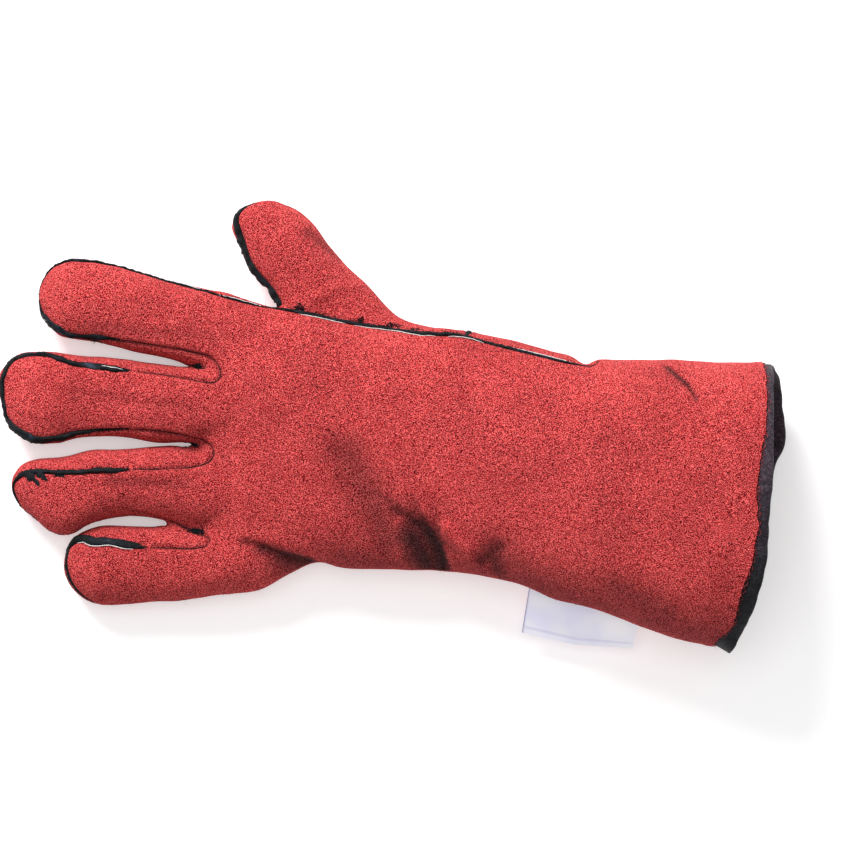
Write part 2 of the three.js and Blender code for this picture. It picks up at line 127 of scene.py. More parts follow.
RING = [
    (-171, -26, 6, 7, 8), (-167.5, -26.3, 18, 14, 3), (-162, -27.3, 25, 20, 0),
    (-153.5, -30.5, 33.5, 23, 0), (-145, -30.7, 35.5, 25, 0), (-136, -27.3, 33, 25, 0),
    (-122, -25.4, 30, 26, 0), (-104.5, -25.6, 32.5, 28, 0), (-98, -26.6, 35.4, 29, 0),
    (-86, -28.5, 36, 30, 0), (-60, -30, 30, 30, 0),
]
LITTLE = [
    (-147, -62.3, 6, 7, 8), (-144.5, -62, 19, 14, 3), (-139.5, -62.3, 28.5, 20, 0),
    (-131.5, -62.7, 35, 24, 0), (-120, -62.5, 35, 25, 0), (-104.5, -61.3, 33.5, 26, 0),
    (-98, -60.6, 34.2, 27, 0), (-88, -60.5, 32, 28, 0), (-65, -57, 30, 29, 0), (-38, -44, 14, 18, 3),
]
BODY = [
    (-89.5, -7.5, 92, 6, 9), (-87.2, -7.5, 118, 15, 4), (-83.5, -7.2, 130, 24, 0),
    (-78.5, -7.4, 135.5, 28, 0), (-68, -8.6, 131.8, 32, 0), (-59, -9, 127.4, 35.5, 0),
    (-46, -7, 117, 40, 0), (-33, -5.8, 109, 42, 0), (-24, -8.3, 109.5, 43, 0), (-5, -10.5, 107, 45, 0),
    (21, -10.3, 108, 49, 0), (39, -12.8, 107, 53, 0), (57, -16.8, 108, 58, 0), (74, -22.5, 110, 62, 0),
    (92, -26.6, 112, 66, 0), (110, -30, 118, 69, 0), (128, -33.3, 124.5, 71, 0),
    (146, -34.8, 126.5, 72, 1.4), (182, -35.5, 126.5, 72, 1.4),
]
THUMB = [
    (0.2, -4.5, 8, 7, 8), (3, -3.2, 19, 14, 3), (8, -1.6, 25.5, 19, 0), (16.5, 0, 31.5, 23, 0),
    (26, 0.4, 33.5, 25, 0), (37, 0.8, 32.5, 25, 0), (50, 0.4, 36, 25, 0), (62, -1, 43, 25, 0),
    (72, -3.6, 50, 26, 0), (81, -4.5, 55, 27, 0), (92, 0.5, 61, 28, 0), (104, 11.5, 63, 28, 0),
]
THUMB_TIP = (-64.5, 99.4)
THUMB_LINE = math.radians(-53)

# Edge of the mouth. Columns: y, x on the back, x on the palm side
MOUTH = [
    (-140, 148, 148), (-98, 149.5, 150.5), (-90, 155.8, 156.5), (-78, 160.2, 161), (-65, 164.2, 165),
    (-40, 166, 168.8), (-28, 166.8, 170.3), (-19, 167.3, 171.6), (-12, 167.5, 174), (-6, 167.5, 177),
    (0, 167.3, 176), (12, 167.2, 175.6), (22, 166.5, 175.2), (28, 166, 171.5), (80, 166, 171),
]
MOUTH_HEIGHT = 73.0  # z of the mouth's top

# Width of the tape that the leather leaves uncovered on the back. Columns: y, width
TAPE_ROWS = [
    (-100, 8), (-94, 8.4), (-89, 6.6), (-85, 6.6), (-76, 8.2), (-68.5, 8.4), (-62, 6.6), (-52, 5.8),
    (-43, 4.8), (-39, 5.6), (-28, 6.8), (-24, 6.6), (-14, 5.8), (-6, 4.4), (0, 3.6), (11, 3.2), (20, 3.4),
    (27, 4),
]

# Back panel's outline seen from above, in stretches. Columns: x, y
SEAM_THUMB_SIDE = [
    (200, 60), (100, 36), (88, 26.3), (81, 27.4), (65.5, 31.2), (48, 35.6), (33, 39.6), (24, 40.6),
    (12, 41), (-1, 43), (-22, 46.8), (-36.5, 50), (-47, 51.9), (-58, 53.4), (-71.5, 56.8), (-83, 60.2),
    (-95, 63.1), (-104, 65.5), (-113, 68.2), (-122, 71.2), (-134, 73.6),
]
SEAM_INDEX = [
    (-144.5, 74.2), (-152.8, 71.2), (-157.6, 64.4), (-158.6, 57.3), (-156.8, 50.6), (-151.8, 44.8),
    (-145.5, 41), (-139.7, 40.2), (-130.3, 39.7), (-122.2, 38.1), (-84, 26),
]
SEAM_MIDDLE = [
    (-116, 24.8), (-130, 26), (-136, 27.2), (-141.5, 27.3), (-147.3, 29.3), (-152, 31.3), (-158.5, 32),
    (-164, 31.8), (-169.5, 30), (-173, 26), (-174.9, 19.7), (-174.6, 13), (-172.9, 4), (-169.3, -0.5),
    (-164, -4.5), (-158, -6.3), (-150, -5.4), (-142, -3.1), (-132, -1.9), (-117.7, -1.6), (-84, -11),
]
SEAM_RING = [
    (-117.5, -19.2), (-129, -19.9), (-138, -20.4), (-148.6, -20.8), (-157, -20.2), (-164.5, -20.8),
    (-169.4, -24.2), (-170.3, -28), (-168.9, -32.1), (-166.2, -37.1), (-161.7, -42.6), (-155.2, -47.8),
    (-149, -49.8), (-142.8, -49.4), (-135.6, -45.4), (-126.7, -42.4), (-117.7, -40.6), (-84, -51.4),
]
SEAM_LITTLE = [
    (-110, -54), (-122, -52.7), (-131, -51.7), (-138, -50.6), (-142.2, -51.6), (-145.4, -55),
    (-146.6, -61.5), (-145.4, -67.1), (-142.5, -72.6), (-138, -77), (-131.1, -80.3), (-122, -84.3),
    (-105, -130), (200, -130),
]
BACK_OUTLINE = SEAM_THUMB_SIDE + SEAM_INDEX + SEAM_MIDDLE + SEAM_RING + SEAM_LITTLE

# Lowest level that the back panel reaches on the thumb side and on the little-finger side. Columns: x, z, z
SEAM_LEVELS = [
    (-200, 8, 9), (-166, 8, 9.5), (-160, 11, 9.5), (-140, 11.5, 10), (-105, 12, 13), (-80, 10, 14),
    (-45, 12, 15), (0, 16, 17), (50, 22, 21), (75, 26, 23), (88, 33, 24), (101, 31, 25), (115, 29.5, 26),
    (220, 29, 27),
]

# Line past which the levels of the little-finger side hold. Columns: x, y
LITTLE_SIDE = [(-150, -64), (-60, -62), (-30, -48), (200, -70)]

# Gussets between the fingers, seen from above. Columns: x, y
GUSSETS = {
    "fourchette_index_middle": [
        (-122, 38.2), (-112, 36.6), (-102, 35), (-95, 34), (-88, 32.3), (-82.5, 31.2), (-78.6, 28),
        (-76.3, 23.7), (-77.6, 20.3), (-81, 19.3), (-88, 20.6), (-95, 21.9), (-102, 23.2), (-116, 24.8),
        (-122, 27),
    ],
    "fourchette_middle_ring": [
        (-118, -1.6), (-104, -2.6), (-97, -3.7), (-91, -4.9), (-85, -6.6), (-81, -9), (-79.7, -12.5),
        (-81, -15.3), (-85, -17.3), (-91, -18.4), (-105, -19.2), (-118, -19.2),
    ],
    "fourchette_ring_little": [
        (-118, -38), (-109, -39.6), (-101, -41.8), (-93, -45.4), (-85, -48.2), (-82, -50), (-81.5, -52),
        (-84, -54), (-91, -54.8), (-100, -54.4), (-110, -54),
    ],
}

# Where the gussets' short ends lie, seen from above. Columns: start x, y, end x, y
GUSSET_ENDS = [
    (-122, 38, -122, 27), (-122, 27, -116, 24.8), (-118, -1.6, -118, -19.2), (-118, -38, -110, -54),
]
GUSSET_END_REACH = 1.2

# Thumb's share of the thumb side, seen from above: its far corners, then its seam on the palm
THUMB_OUTLINE = [
    (-90, 125), (30, 125), (36, 60), (34, 42), (26, 32), (8, 22), (-14, 20), (-34, 30), (-50, 46),
    (-60, 56), (-90, 80),
]
THUMB_SEAM_LEVELS = (17.0, 8.0)  # on the welted side and on the cuff side
THUMB_HALF_WIDTH = 16.0

# Folds. Columns: start x, y, end x, y, reach left and right of that line, depth (a ridge below 0), shade
# painted into the colour over it. Rows of depth 0 are painted shade only.
FOLDS = [
    (-19.4, -13.5, -7.7, -35.5, 8, 11, 3.5, 0.48),  # wrist, upper valley
    (-7.7, -35.5, -1, -52, 7, 10, 3.5, 0.5),
    (-22, -58, 5, -62, 8, 8, 0, 0.35),
    (-7.7, -30, 1.2, -37, 3, 6, 3.5, 0.45),
    (1.2, -37, 12.2, -42.5, 1.8, 6, 4.5, 0.65),  # wrist, deep valley
    (12.2, -42.5, 17.9, -47, 1.4, 10, 6, 0.93),
    (17.9, -47, 22.8, -56.5, 1.4, 13, 6.5, 0.98),
    (22.8, -56.5, 24.1, -66, 1.4, 14, 6.5, 0.98),
    # painted shade only, for the dark hollow of the wrist
    (9, -49, 15.5, -61, 8, 10, 0, 0.93),  # dark hollow of the wrist
    (13.5, -38.5, 22.9, -47.2, 2.5, 2, -1.8, 0),  # ridge beside it
    (23.5, -46.6, 28.8, -53.3, 3.5, 2.6, -4.4, 0),
    (28.8, -53.3, 34.6, -59.9, 3.5, 2.6, -4.4, 0),
    (40, -59.5, 47, -54, 4, 4, 3, 0.72),  # hollow past the ridge
    (44, -57, 46.5, -65, 6, 3, 3, 0.72),
    (46, -56, 62, -68, 8, 8, 0, 0.32),
    # painted shade only, along the little-finger side that faces away from the light
    (42, -68, 140, -95, 14, 14, 0, 0.38),  # shade along the little-finger side
    (98, -72, 122, -84, 7, 7, 1, 0.42),
    (-65.2, -51.2, -56.8, -53.4, 1, 3, 2, 0.5),  # crease of the little finger
    (-56.8, -53.4, -47.9, -56.3, 1, 6, 3.5, 0.82),
    (-47.9, -56.3, -36.2, -59.6, 1, 9, 4, 0.9),
    (122, 25.9, 130.9, 18, 0.8, 1.6, 2, 0.95),  # crease near the mouth
    (130.9, 18, 134.2, 12, 0.8, 1.4, 1.2, 0.75),
    (-141, 14, -87, 7.2, 3, 3, 0.8, 0.14),  # faint folds along the fingers
    (-125, -25.6, -92.7, -26.6, 2.5, 2.5, 0.9, 0.3),
    (-132, 43.2, -84, 38.7, 3, 3, 0.6, 0.1),
    (-37.4, 86, -26.5, 78, 2.5, 2.5, 1.6, 0.45),  # creases of the thumb
    (-28.5, 78, -24, 75, 1.5, 1.5, 1.4, 0.3),
    (-35.1, 56.5, -26, 61.5, 2.2, 2.5, -1.1, 0),
    (-26, 61.5, -12, 63.5, 2.2, 2.5, -1.2, 0),
]

# Dents in the sides. Columns: x, y, push in x, push in y, reach
SIDE_DENTS = [(86, 33, 0, -4.2, 5)]

# Middle lines of the gaps between two fingers, and the x where each gap ends. Columns: x, y
GAPS = [
    [(-160, 38), (-140.9, 35.8), (-122.9, 32.9), (-104.9, 29.6), (-95.9, 27), (-90, 26.5), (-80, 26)],
    [(-170, -8.5), (-140.9, -8.5), (-122.9, -7.7), (-104.9, -8.5), (-95.9, -8), (-89, -8.2), (-84, -9)],
    [(-150, -50), (-140.9, -47.6), (-131.9, -43.6), (-113.9, -42.7), (-104.9, -43.6), (-90, -46)],
]
GAP_ENDS = (-87.5, -87.5, -101.5)
PARTING = 2.2  # how far each wall of a gap is moved away while the limbs are fused
PARTING_CORE, PARTING_REACH = 0.7, 13.0  # where that move is complete, and where it has died out
HALVINGS = 24  # steps of the search that undoes it

# Welts. Columns: x, y, thickness in the seam, height out of it
WELTS = {
    "index": [
        (160, 27, 0.8, -0.9), (93, 26, 0.8, -0.9), (85, 27, 0.9, 0.2), (75, 29, 1.1, 0.5),
        (34, 39, 1.5, 0.8), (20, 40.6, 1.9, 1.1), (-1, 43, 1.5, 0.8), (-22, 47, 1.4, 0.7),
        (-47, 52, 1.1, 0.6), (-60, 54, 0.9, 0.5), (-85, 60, 0.9, 0.5), (-95, 63, 1.2, 0.7),
        (-116, 69, 1.5, 0.9), (-134, 73.6, 1.3, 0.9), (-146, 74, 1.1, 0.8), (-156, 67, 1, 0.8),
        (-158.6, 57, 1.3, 0.9), (-154, 46.5, 3.6, 1.3), (-147, 41.6, 4.2, 1.3), (-140, 40.2, 2.2, 0.8),
        (-134, 39.9, 3.2, 0.9), (-129, 39.6, 2.6, 0.5), (-124, 38.5, 0.8, -0.6),
    ],
    "middle": [
        (-116, 24.9, 1.4, 0.3), (-124, 25.5, 3.2, 1.3), (-140, 27.3, 3.6, 1.4), (-150, 30.5, 2.9, 1.3),
        (-160, 32, 2.3, 1.2), (-170, 29.7, 2.3, 1.2), (-174.9, 19.7, 2.3, 1.2), (-174.6, 13, 2.5, 1.2),
        (-172, 2, 3.2, 1.3), (-164, -4.5, 4.2, 1.4), (-155, -6, 4.2, 1.4), (-144, -3.5, 3.4, 1.1),
        (-135, -2, 1.9, 0.7), (-126, -1.7, 1, 0), (-119, -1.6, 1, -0.6),
    ],
    "ring": [
        (-118, -19.3, 1.6, 0.4), (-124, -19.6, 2.6, 1.2), (-140, -20.5, 2.5, 1.3), (-156, -20.4, 2.3, 1.2),
        (-166, -21.8, 2.1, 1), (-169, -27, 1, 0.5), (-164, -37, 0.8, 0.4), (-154, -45.3, 0.9, 0.4),
        (-145, -46.5, 0.9, 0.3), (-130, -41, 0.8, -0.4), (-118, -39, 0.8, -0.6),
    ],
    "little": [
        (-110, -54, 1.8, 0.3), (-117, -53.3, 3.4, 1.1), (-130, -52, 4.4, 1.5), (-139, -51.2, 4.3, 1.5),
        (-144.4, -55, 2.4, 1.1), (-145.6, -62, 1.2, 0.6), (-142, -72.4, 0.9, 0.4), (-131, -80, 0.9, 0.3),
        (-115, -84, 0.9, -0.3), (-100, -82, 1, -0.2), (-30, -62, 1.2, 0.1), (0, -64, 1.2, 0.3),
        (140, -96, 1.3, 0.4),
    ],
    "thumb": [
        (-57, 54, 0.8, -0.8), (-51.5, 50.5, 0.8, -0.8), (-49, 51, 2.6, 1.2), (-50, 55, 3.8, 2),
        (-62, 74, 3.8, 2), (-70, 86, 3.2, 1.8), (-71, 93, 2.8, 1.4), (-67, 99, 2.2, 0.9),
        (-62, 101, 1.4, 0.2), (-54, 100, 0.8, -0.6), (-20, 74, 0.8, -0.6), (10, 54, 0.8, -0.6),
    ],
}

# Short welt end where palm and thumb meet on the thumb side. Columns: as above
BASE_WELT = [(34, 41, 2.3, 0.6), (33, 39, 2.3, 0.6)]
BASE_WELT_X, BASE_WELT_Z = 15, 14  # it starts past this x and above this z

# Pale thread. Columns: welt, from x, to x, lowest y, side of the welt (0 on it), height, longest stretch
THREADS = [
    ("index", -46, 45, 0, 1, 0.35, 45), ("index", 44, 86, 0, -1, 0.4, 45),
    ("index", -157.5, -50, 45, 0, 0, 60), ("middle", -134, -116, 20, 0, 0, 30),
    ("little", -143.5, -112, -55, 1, 0.9, 600),
]

# Tufts of black welt fibre. Columns: x, y, reach in x, reach in y, strands
KNOTS = [
    (-87, 26.6, 2.6, 1.3, 130), (-88.5, -8.4, 3, 0.8, 90), (-87, -47, 4, 1.1, 160),
    (-41.3, 52.9, 2.2, 1.4, 110), (-14.8, 47.4, 1.2, 1.2, 60), (-133, 39.2, 3.2, 1.2, 110),
    (-1.2, 44.6, 3.6, 1, 170), (9, 42.6, 4, 0.6, 60), (24, 41.2, 6, 0.6, 70),
]

# Torn ends of welt that hang out of the seams. Columns: start x, y, end x, y, radius
SPURS = [
    (-163, -21, -157.6, -26.8, 2.6), (-158, -21, -153.8, -24.6, 2.2), (-150, -21.2, -146, -23, 1.6),
    (-128, 25.6, -116, 25.2, 0.8), (-126, -20, -116.5, -19.4, 0.8), (-121, -53.4, -109, -54.4, 0.9),
    (-127, 39, -114, 37, 0.5),
]
SPUR_STEPS = 14
SPUR_FLATNESS = 0.4
SPUR_LIFT = 0.35

rng = np.random.default_rng(7)


def smooth_table(rows, step):
    """Rows of a table at even steps, on a smooth curve through the given ones."""
    rows = np.array(rows, float)
    x = rows[:, 0]
    at = np.linspace(x[0], x[-1], int(round((x[-1] - x[0]) / step)) + 1)
    i = np.clip(np.searchsorted(x, at, side="right") - 1, 0, len(x) - 2)
    before, after = np.maximum(i - 1, 0), np.minimum(i + 2, len(x) - 1)
    length = (x[i + 1] - x[i])[:, None]
    t = (at - x[i])[:, None] / length
    slope_start = (rows[i + 1] - rows[before]) / (x[i + 1] - x[before])[:, None] * length
    slope_end = (rows[after] - rows[i]) / (x[after] - x[i])[:, None] * length
    return (
        (2 * t**3 - 3 * t**2 + 1) * rows[i] + (t**3 - 2 * t**2 + t) * slope_start
        + (3 * t**2 - 2 * t**3) * rows[i + 1] + (t**3 - t**2) * slope_end
    )


def look_up(table, at, column=1):
    """Values of a table's column at places along its first column."""
    rows = np.array(table, float)
    return np.interp(at, rows[:, 0], rows[:, column])


def noise_at(points, length):
    return np.array([noise.noise(Vector(point) / length) for point in points])


def quads(count, corners, closed=False):
    """Faces between rings of points, each joined to the next one."""
    faces = []
    for i in range(count if closed else count - 1):
        j = (i + 1) % count
        for k in range(corners):
            n = (k + 1) % corners
            faces.append((i * corners + k, i * corners + n, j * corners + n, j * corners + k))
    return faces


def tube_faces(count, corners):
    """The same with both ends closed."""
    ends = [tuple(range(corners - 1, -1, -1)), tuple((count - 1) * corners + k for k in range(corners))]
    return quads(count, corners) + ends


def join_solids(solids):
    """Points and faces of several solids as one."""
    points, faces, start = [], [], 0
    for solid_points, solid_faces in solids:
        points.append(solid_points)
        faces += [tuple(start + int(i) for i in face) for face in solid_faces]
        start += len(solid_points)
    return np.vstack(points), faces


def tree_of(spots):
    tree = KDTree(len(spots))
    for i, spot in enumerate(spots):
        tree.insert(spot, i)
    tree.balance()
    return tree


def unit(vectors):
    return vectors / np.maximum(np.linalg.norm(vectors, axis=1), 1e-9)[:, None]


def loft(table, sides):
    """Closed limb through its sections, as points and faces."""
    angle = np.linspace(0, 2 * math.pi, sides, endpoint=False)
    across, rise = (np.sign(v) * np.abs(v) ** (2 / ROUNDNESS) for v in (np.cos(angle), np.sin(angle)))
    x, y, width, height, lift = (column[:, None] for column in table.T)
    level = lift + height * WIDEST_LEVEL
    reach = np.where(rise > 0, lift + height - level, (level - lift) * PRESS)
    z = np.maximum(level + reach * rise, np.maximum(lift, 0))
    points = np.stack([x + 0 * z, y + width / 2 * across, z], axis=2)
    count = len(table)
    ends = [points[0].mean(0), points[-1].mean(0)]
    points = np.vstack([points.reshape(-1, 3), ends])
    faces = quads(count, sides)
    first, last, ring = len(points) - 2, len(points) - 1, (count - 1) * sides
    for k in range(sides):
        n = (k + 1) % sides
        faces += [(first, n, k), (last, ring + k, ring + n)]
    return points, faces


def place_thumb(points):
    """From the thumb's own line to its place beside the hand."""
    cos, sin = math.cos(THUMB_LINE), math.sin(THUMB_LINE)
    x = THUMB_TIP[0] + points[:, 0] * cos - points[:, 1] * sin
    y = THUMB_TIP[1] + points[:, 0] * sin + points[:, 1] * cos
    return np.stack([x, y, points[:, 2]], axis=1)


def thumb_side(points):
    """How far each point lies across the thumb's own line."""
    dx, dy = points[:, 0] - THUMB_TIP[0], points[:, 1] - THUMB_TIP[1]
    return -dx * math.sin(THUMB_LINE) + dy * math.cos(THUMB_LINE)


def new_mesh(name, points, faces):
    mesh = bpy.data.meshes.new(name)
    mesh.from_pydata(np.asarray(points).tolist(), [], [list(face) for face in faces])
    mesh.update()
    return mesh


def add_object(name, data):
    item = bpy.data.objects.new(name, data)
    bpy.context.scene.collection.objects.link(item)
    return item


def triangles_of(mesh):
    mesh.calc_loop_triangles()
    points = np.empty(len(mesh.vertices) * 3)
    mesh.vertices.foreach_get("co", points)
    tris = np.empty(len(mesh.loop_triangles) * 3, dtype=np.int32)
    mesh.loop_triangles.foreach_get("vertices", tris)
    return points.reshape(-1, 3), tris.reshape(-1, 3)


def fuse(limbs):
    """One skin round overlapping closed limbs."""
    scratch = add_object("limbs", new_mesh("limbs", *join_solids(limbs)))
    remesh = scratch.modifiers.new("skin", "REMESH")
    remesh.mode = "VOXEL"
    remesh.voxel_size = VOXEL
    remesh.adaptivity = 0.0
    ready = scratch.evaluated_get(bpy.context.evaluated_depsgraph_get())
    skin = triangles_of(ready.to_mesh())
    ready.to_mesh_clear()
    bpy.data.objects.remove(scratch)
    return skin


def directed_edges(tris):
    return np.vstack([tris[:, [0, 1]], tris[:, [1, 2]], tris[:, [2, 0]]])


def edges_of(tris):
    return np.unique(np.sort(directed_edges(tris), axis=1), axis=0)


def neighbour_mean(points, edges):
    total = np.zeros_like(points)
    count = np.bincount(edges.ravel(), minlength=len(points)).astype(float)
    for axis in range(points.shape[1]):
        total[:, axis] = np.bincount(edges[:, 0], points[edges[:, 1], axis], len(points))
        total[:, axis] += np.bincount(edges[:, 1], points[edges[:, 0], axis], len(points))
    return total / np.maximum(count, 1)[:, None]


def relax(points, edges, steps, pull, push):
    """Smooths with alternate pulls and pushes, so that limbs keep their size."""
    for _ in range(steps):
        points = points + pull * (neighbour_mean(points, edges) - points)
        points = points - push * (neighbour_mean(points, edges) - points)
    return points


def normals_of(points, tris):
    a, b, c = (points[tris[:, k]] for k in range(3))
    face = np.cross(b - a, c - a)
    total = np.zeros_like(points)
    for k in range(3):
        for axis in range(3):
            total[:, axis] += np.bincount(tris[:, k], face[:, axis], len(points))
    return unit(total)


def segment_distance(points, start, end):
    """Distance seen from above from each point to a line between two places."""
    along = np.subtract(end, start)
    share = np.clip(((points[:, :2] - start) @ along) / (along @ along), 0, 1)
    return np.linalg.norm(points[:, :2] - start - share[:, None] * along, axis=1)


def inside_distance(points, outline):
    """Distance seen from above to an outline, positive inside it."""
    corners = np.array(outline, float)
    distance = np.full(len(points), 1e9)
    inside = np.zeros(len(points), bool)
    x, y = points[:, 0], points[:, 1]
    for start, end in zip(corners, np.roll(corners, -1, axis=0)):
        distance = np.minimum(distance, segment_distance(points, start, end))
        crosses = (start[1] > y) != (end[1] > y)
        rise = end[1] - start[1]
        at = start[0] + (y - start[1]) * (end[0] - start[0]) / (rise if rise else 1.0)
        inside ^= crosses & (x < at)
    return np.where(inside, distance, -distance)


def smoothstep(low, high, value):
    t = np.clip((value - low) / (high - low), 0, 1)
    return t * t * (3 - 2 * t)


def fold_table(points):
    """Depth of the folds at each point, and how much shade is painted into the colour there."""
    valley, ridge, shade = np.zeros((3, len(points)))
    for from_x, from_y, to_x, to_y, left, right, fold, dark in FOLDS:
        start, end = np.array([from_x, from_y]), np.array([to_x, to_y])
        distance = segment_distance(points, start, end)
        along, away = end - start, points[:, :2] - start
        reach = np.where(along[0] * away[:, 1] - along[1] * away[:, 0] > 0, left, right)
        near = np.exp(-((distance / reach) ** 2))
        valley, ridge = np.maximum(valley, fold * near), np.minimum(ridge, fold * near)
        shade = np.maximum(shade, dark * near)
    return valley + ridge, shade


def gap_shift(across):
    """How far a point moves away from the middle line of a gap, for its distance across it."""
    rise = smoothstep(0, PARTING_CORE, np.abs(across))
    fade = 1 - smoothstep(PARTING_CORE, PARTING_REACH, np.abs(across))
    return PARTING * np.sign(across) * rise * fade


def part_fingers(points, back=False):
    """Widens the gaps between the fingers, or closes them again by the same amount."""
    points = points.copy()
    for line, foot in zip(GAPS, GAP_ENDS):
        middle = look_up(line, points[:, 0])
        share = 1 - smoothstep(foot - 4, foot + 3, points[:, 0])
        across = points[:, 1] - middle
        if back:
            low, high = across - PARTING, across + PARTING
            for _ in range(HALVINGS):
                half = (low + high) / 2
                over = half + share * gap_shift(half) > across
                low, high = np.where(over, low, half), np.where(over, half, high)
            points[:, 1] = middle + (low + high) / 2
        else:
            points[:, 1] = middle + across + share * gap_shift(across)
    return points


def swell(points):
    """Slow unevenness of worked leather and its smaller puckers, as a height."""
    height = noise_at(points, SWELL_LENGTH) * SWELL_HEIGHT
    height += noise_at(points + 50.0, PUCKER_LENGTH) * PUCKER_HEIGHT
    return height * smoothstep(0.5, 4.0, points[:, 2])


def make_skin():
    """The whole outer surface: limbs fused, crotches filled and folds pressed in."""
    limbs = [loft(smooth_table(rows, 2.0), LIMB_SIDES) for rows in (INDEX, MIDDLE, RING, LITTLE)]
    limbs.append(loft(smooth_table(BODY, 2.5), BODY_SIDES))
    thumb_points, thumb_faces = loft(smooth_table(THUMB, 2.0), LIMB_SIDES)
    limbs.append((place_thumb(thumb_points), thumb_faces))
    points, tris = fuse([(part_fingers(limb), faces) for limb, faces in limbs])
    edges = edges_of(tris)
    points = relax(points, edges, 5, 0.55, 0.0)
    points = relax(points, edges, 6, 0.5, 0.52)
    points = part_fingers(points, back=True)
    for x, y, push_x, push_y, reach in SIDE_DENTS:
        near = np.exp(-((np.hypot(points[:, 0] - x, points[:, 1] - y) / reach) ** 2))
        points[:, :2] += near[:, None] * [push_x, push_y]
    top = smoothstep(0.0, 0.7, normals_of(points, tris)[:, 2])
    points[:, 2] -= top * fold_table(points)[0]
    points = relax(points, edges, 3, 0.5, 0.52)
    points += normals_of(points, tris) * swell(points)[:, None]
    points[:, 2] = np.maximum(points[:, 2], 0.0)
    return points, tris


class Skin:
    """Points with their normals and the fields that divide them into panels."""

    COLUMNS = ["x", "y", "z", "nx", "ny", "nz", "back", "mouth", "thumb", "thumb_top", *GUSSETS]

    def __init__(self, rows, tris):
        self.rows, self.tris = rows, tris

    def get(self, name):
        return self.rows[:, self.COLUMNS.index(name)]

    @property
    def points(self):
        return self.rows[:, :3]

    @property
    def normals(self):
        return unit(self.rows[:, 3:6])

    def where(self, value):
        """Part of the skin where a value, one for each point, is above zero."""
        value = np.where(np.abs(value) < 1e-4, 1e-4, value)
        inside = value > 0
        count = inside[self.tris].sum(axis=1)
        kept = [self.tris[count == 3]]
        cut_pairs, builders = [], []
        for want in (1, 2):
            part = self.tris[count == want]
            lone = np.argmax(inside[part] == (want == 1), axis=1)
            turned = np.take_along_axis(part, (lone[:, None] + np.arange(3)) % 3, axis=1)
            cut_pairs += [turned[:, [0, 1]], turned[:, [0, 2]]]
            builders.append(turned)
        sizes = [len(pairs) for pairs in cut_pairs]
        pairs, index = np.unique(np.sort(np.vstack(cut_pairs), axis=1), axis=0, return_inverse=True)
        index = index.ravel()
        share = (value[pairs[:, 0]] / (value[pairs[:, 0]] - value[pairs[:, 1]]))[:, None]
        new_rows = self.rows[pairs[:, 0]] * (1 - share) + self.rows[pairs[:, 1]] * share
        parts = np.split(index + len(self.rows), np.cumsum(sizes)[:-1])
        one, two = builders
        kept.append(np.stack([one[:, 0], parts[0], parts[1]], axis=1))
        kept.append(np.stack([parts[2], two[:, 1], two[:, 2]], axis=1))
        kept.append(np.stack([parts[2], two[:, 2], parts[3]], axis=1))
        rows, tris = np.vstack([self.rows, new_rows]), np.vstack(kept)
        used, tris = np.unique(tris, return_inverse=True)
        return Skin(rows[used], tris.reshape(-1, 3))

    def rim(self):
        """Edges used by one triangle only, in their triangle's direction."""
        directed = directed_edges(self.tris)
        _, index, count = np.unique(np.sort(directed, axis=1), axis=0, return_index=True, return_counts=True)
        return directed[index[count == 1]]

    def loops(self):
        """Closed rims as ordered point numbers, the longest first."""
        follow = {}
        for start, end in self.rim().tolist():
            follow.setdefault(start, []).append(end)
        loops = []
        while follow:
            start = next(iter(follow))
            loop, at = [], start
            while at in follow:
                loop.append(at)
                ends = follow[at]
                following = ends.pop()
                if not ends:
                    del follow[at]
                at = following
            loops.append(np.array(loop))
        return sorted(loops, key=len, reverse=True)


def divide(points, tris):
    """Fields over the skin: which side of each seam a point lies on."""
    normals = normals_of(points, tris)
    x, y, z = points.T
    to_little = smoothstep(0, 10, look_up(LITTLE_SIDE, x) - y)
    lowest = look_up(SEAM_LEVELS, x, 1) * (1 - to_little) + look_up(SEAM_LEVELS, x, 2) * to_little
    back = np.minimum(inside_distance(points, BACK_OUTLINE), z - lowest)
    on_back, on_palm = look_up(MOUTH, y, 1), look_up(MOUTH, y, 2)
    mouth = on_palm + (on_back - on_palm) * z / MOUTH_HEIGHT - x
    thumb = inside_distance(points, THUMB_OUTLINE)
    welted, plain = THUMB_SEAM_LEVELS
    across = np.clip(thumb_side(points) / THUMB_HALF_WIDTH, -1, 1)
    thumb_top = z - (welted + plain) / 2 - (plain - welted) / 2 * across
    gussets = [inside_distance(points, outline) for outline in GUSSETS.values()]
    columns = [*points.T, *normals.T, back, mouth, thumb, thumb_top, *gussets]
    return Skin(np.stack(columns, axis=1), tris)


def biggest(skin):
    """A skin without its small loose bits."""
    label = np.arange(len(skin.rows))
    edges = edges_of(skin.tris)
    while True:
        before = label.copy()
        np.minimum.at(label, edges[:, 0], label[edges[:, 1]])
        np.minimum.at(label, edges[:, 1], label[edges[:, 0]])
        label = label[label]
        if np.array_equal(before, label):
            break
    names, counts = np.unique(label, return_counts=True)
    keep = np.isin(label, names[counts >= SMALLEST_SHARE * counts.max()])
    tris = skin.tris[keep[skin.tris[:, 0]]]
    used, tris = np.unique(tris, return_inverse=True)
    return Skin(skin.rows[used], tris.reshape(-1, 3))


def resample(path, step, closed=False):
    """A path at even steps, with the same end points. Every column of it is carried along."""
    if closed:
        path = np.vstack([path, path[:1]])
    length = np.concatenate([[0], np.cumsum(np.linalg.norm(np.diff(path[:, :3], axis=0), axis=1))])
    count = max(4, int(round(length[-1] / step)))
    at = np.linspace(0, length[-1], count + 1)
    columns = [np.interp(at, length, path[:, k]) for k in range(path.shape[1])]
    even = np.stack(columns, axis=1)
    return even[:-1] if closed else even


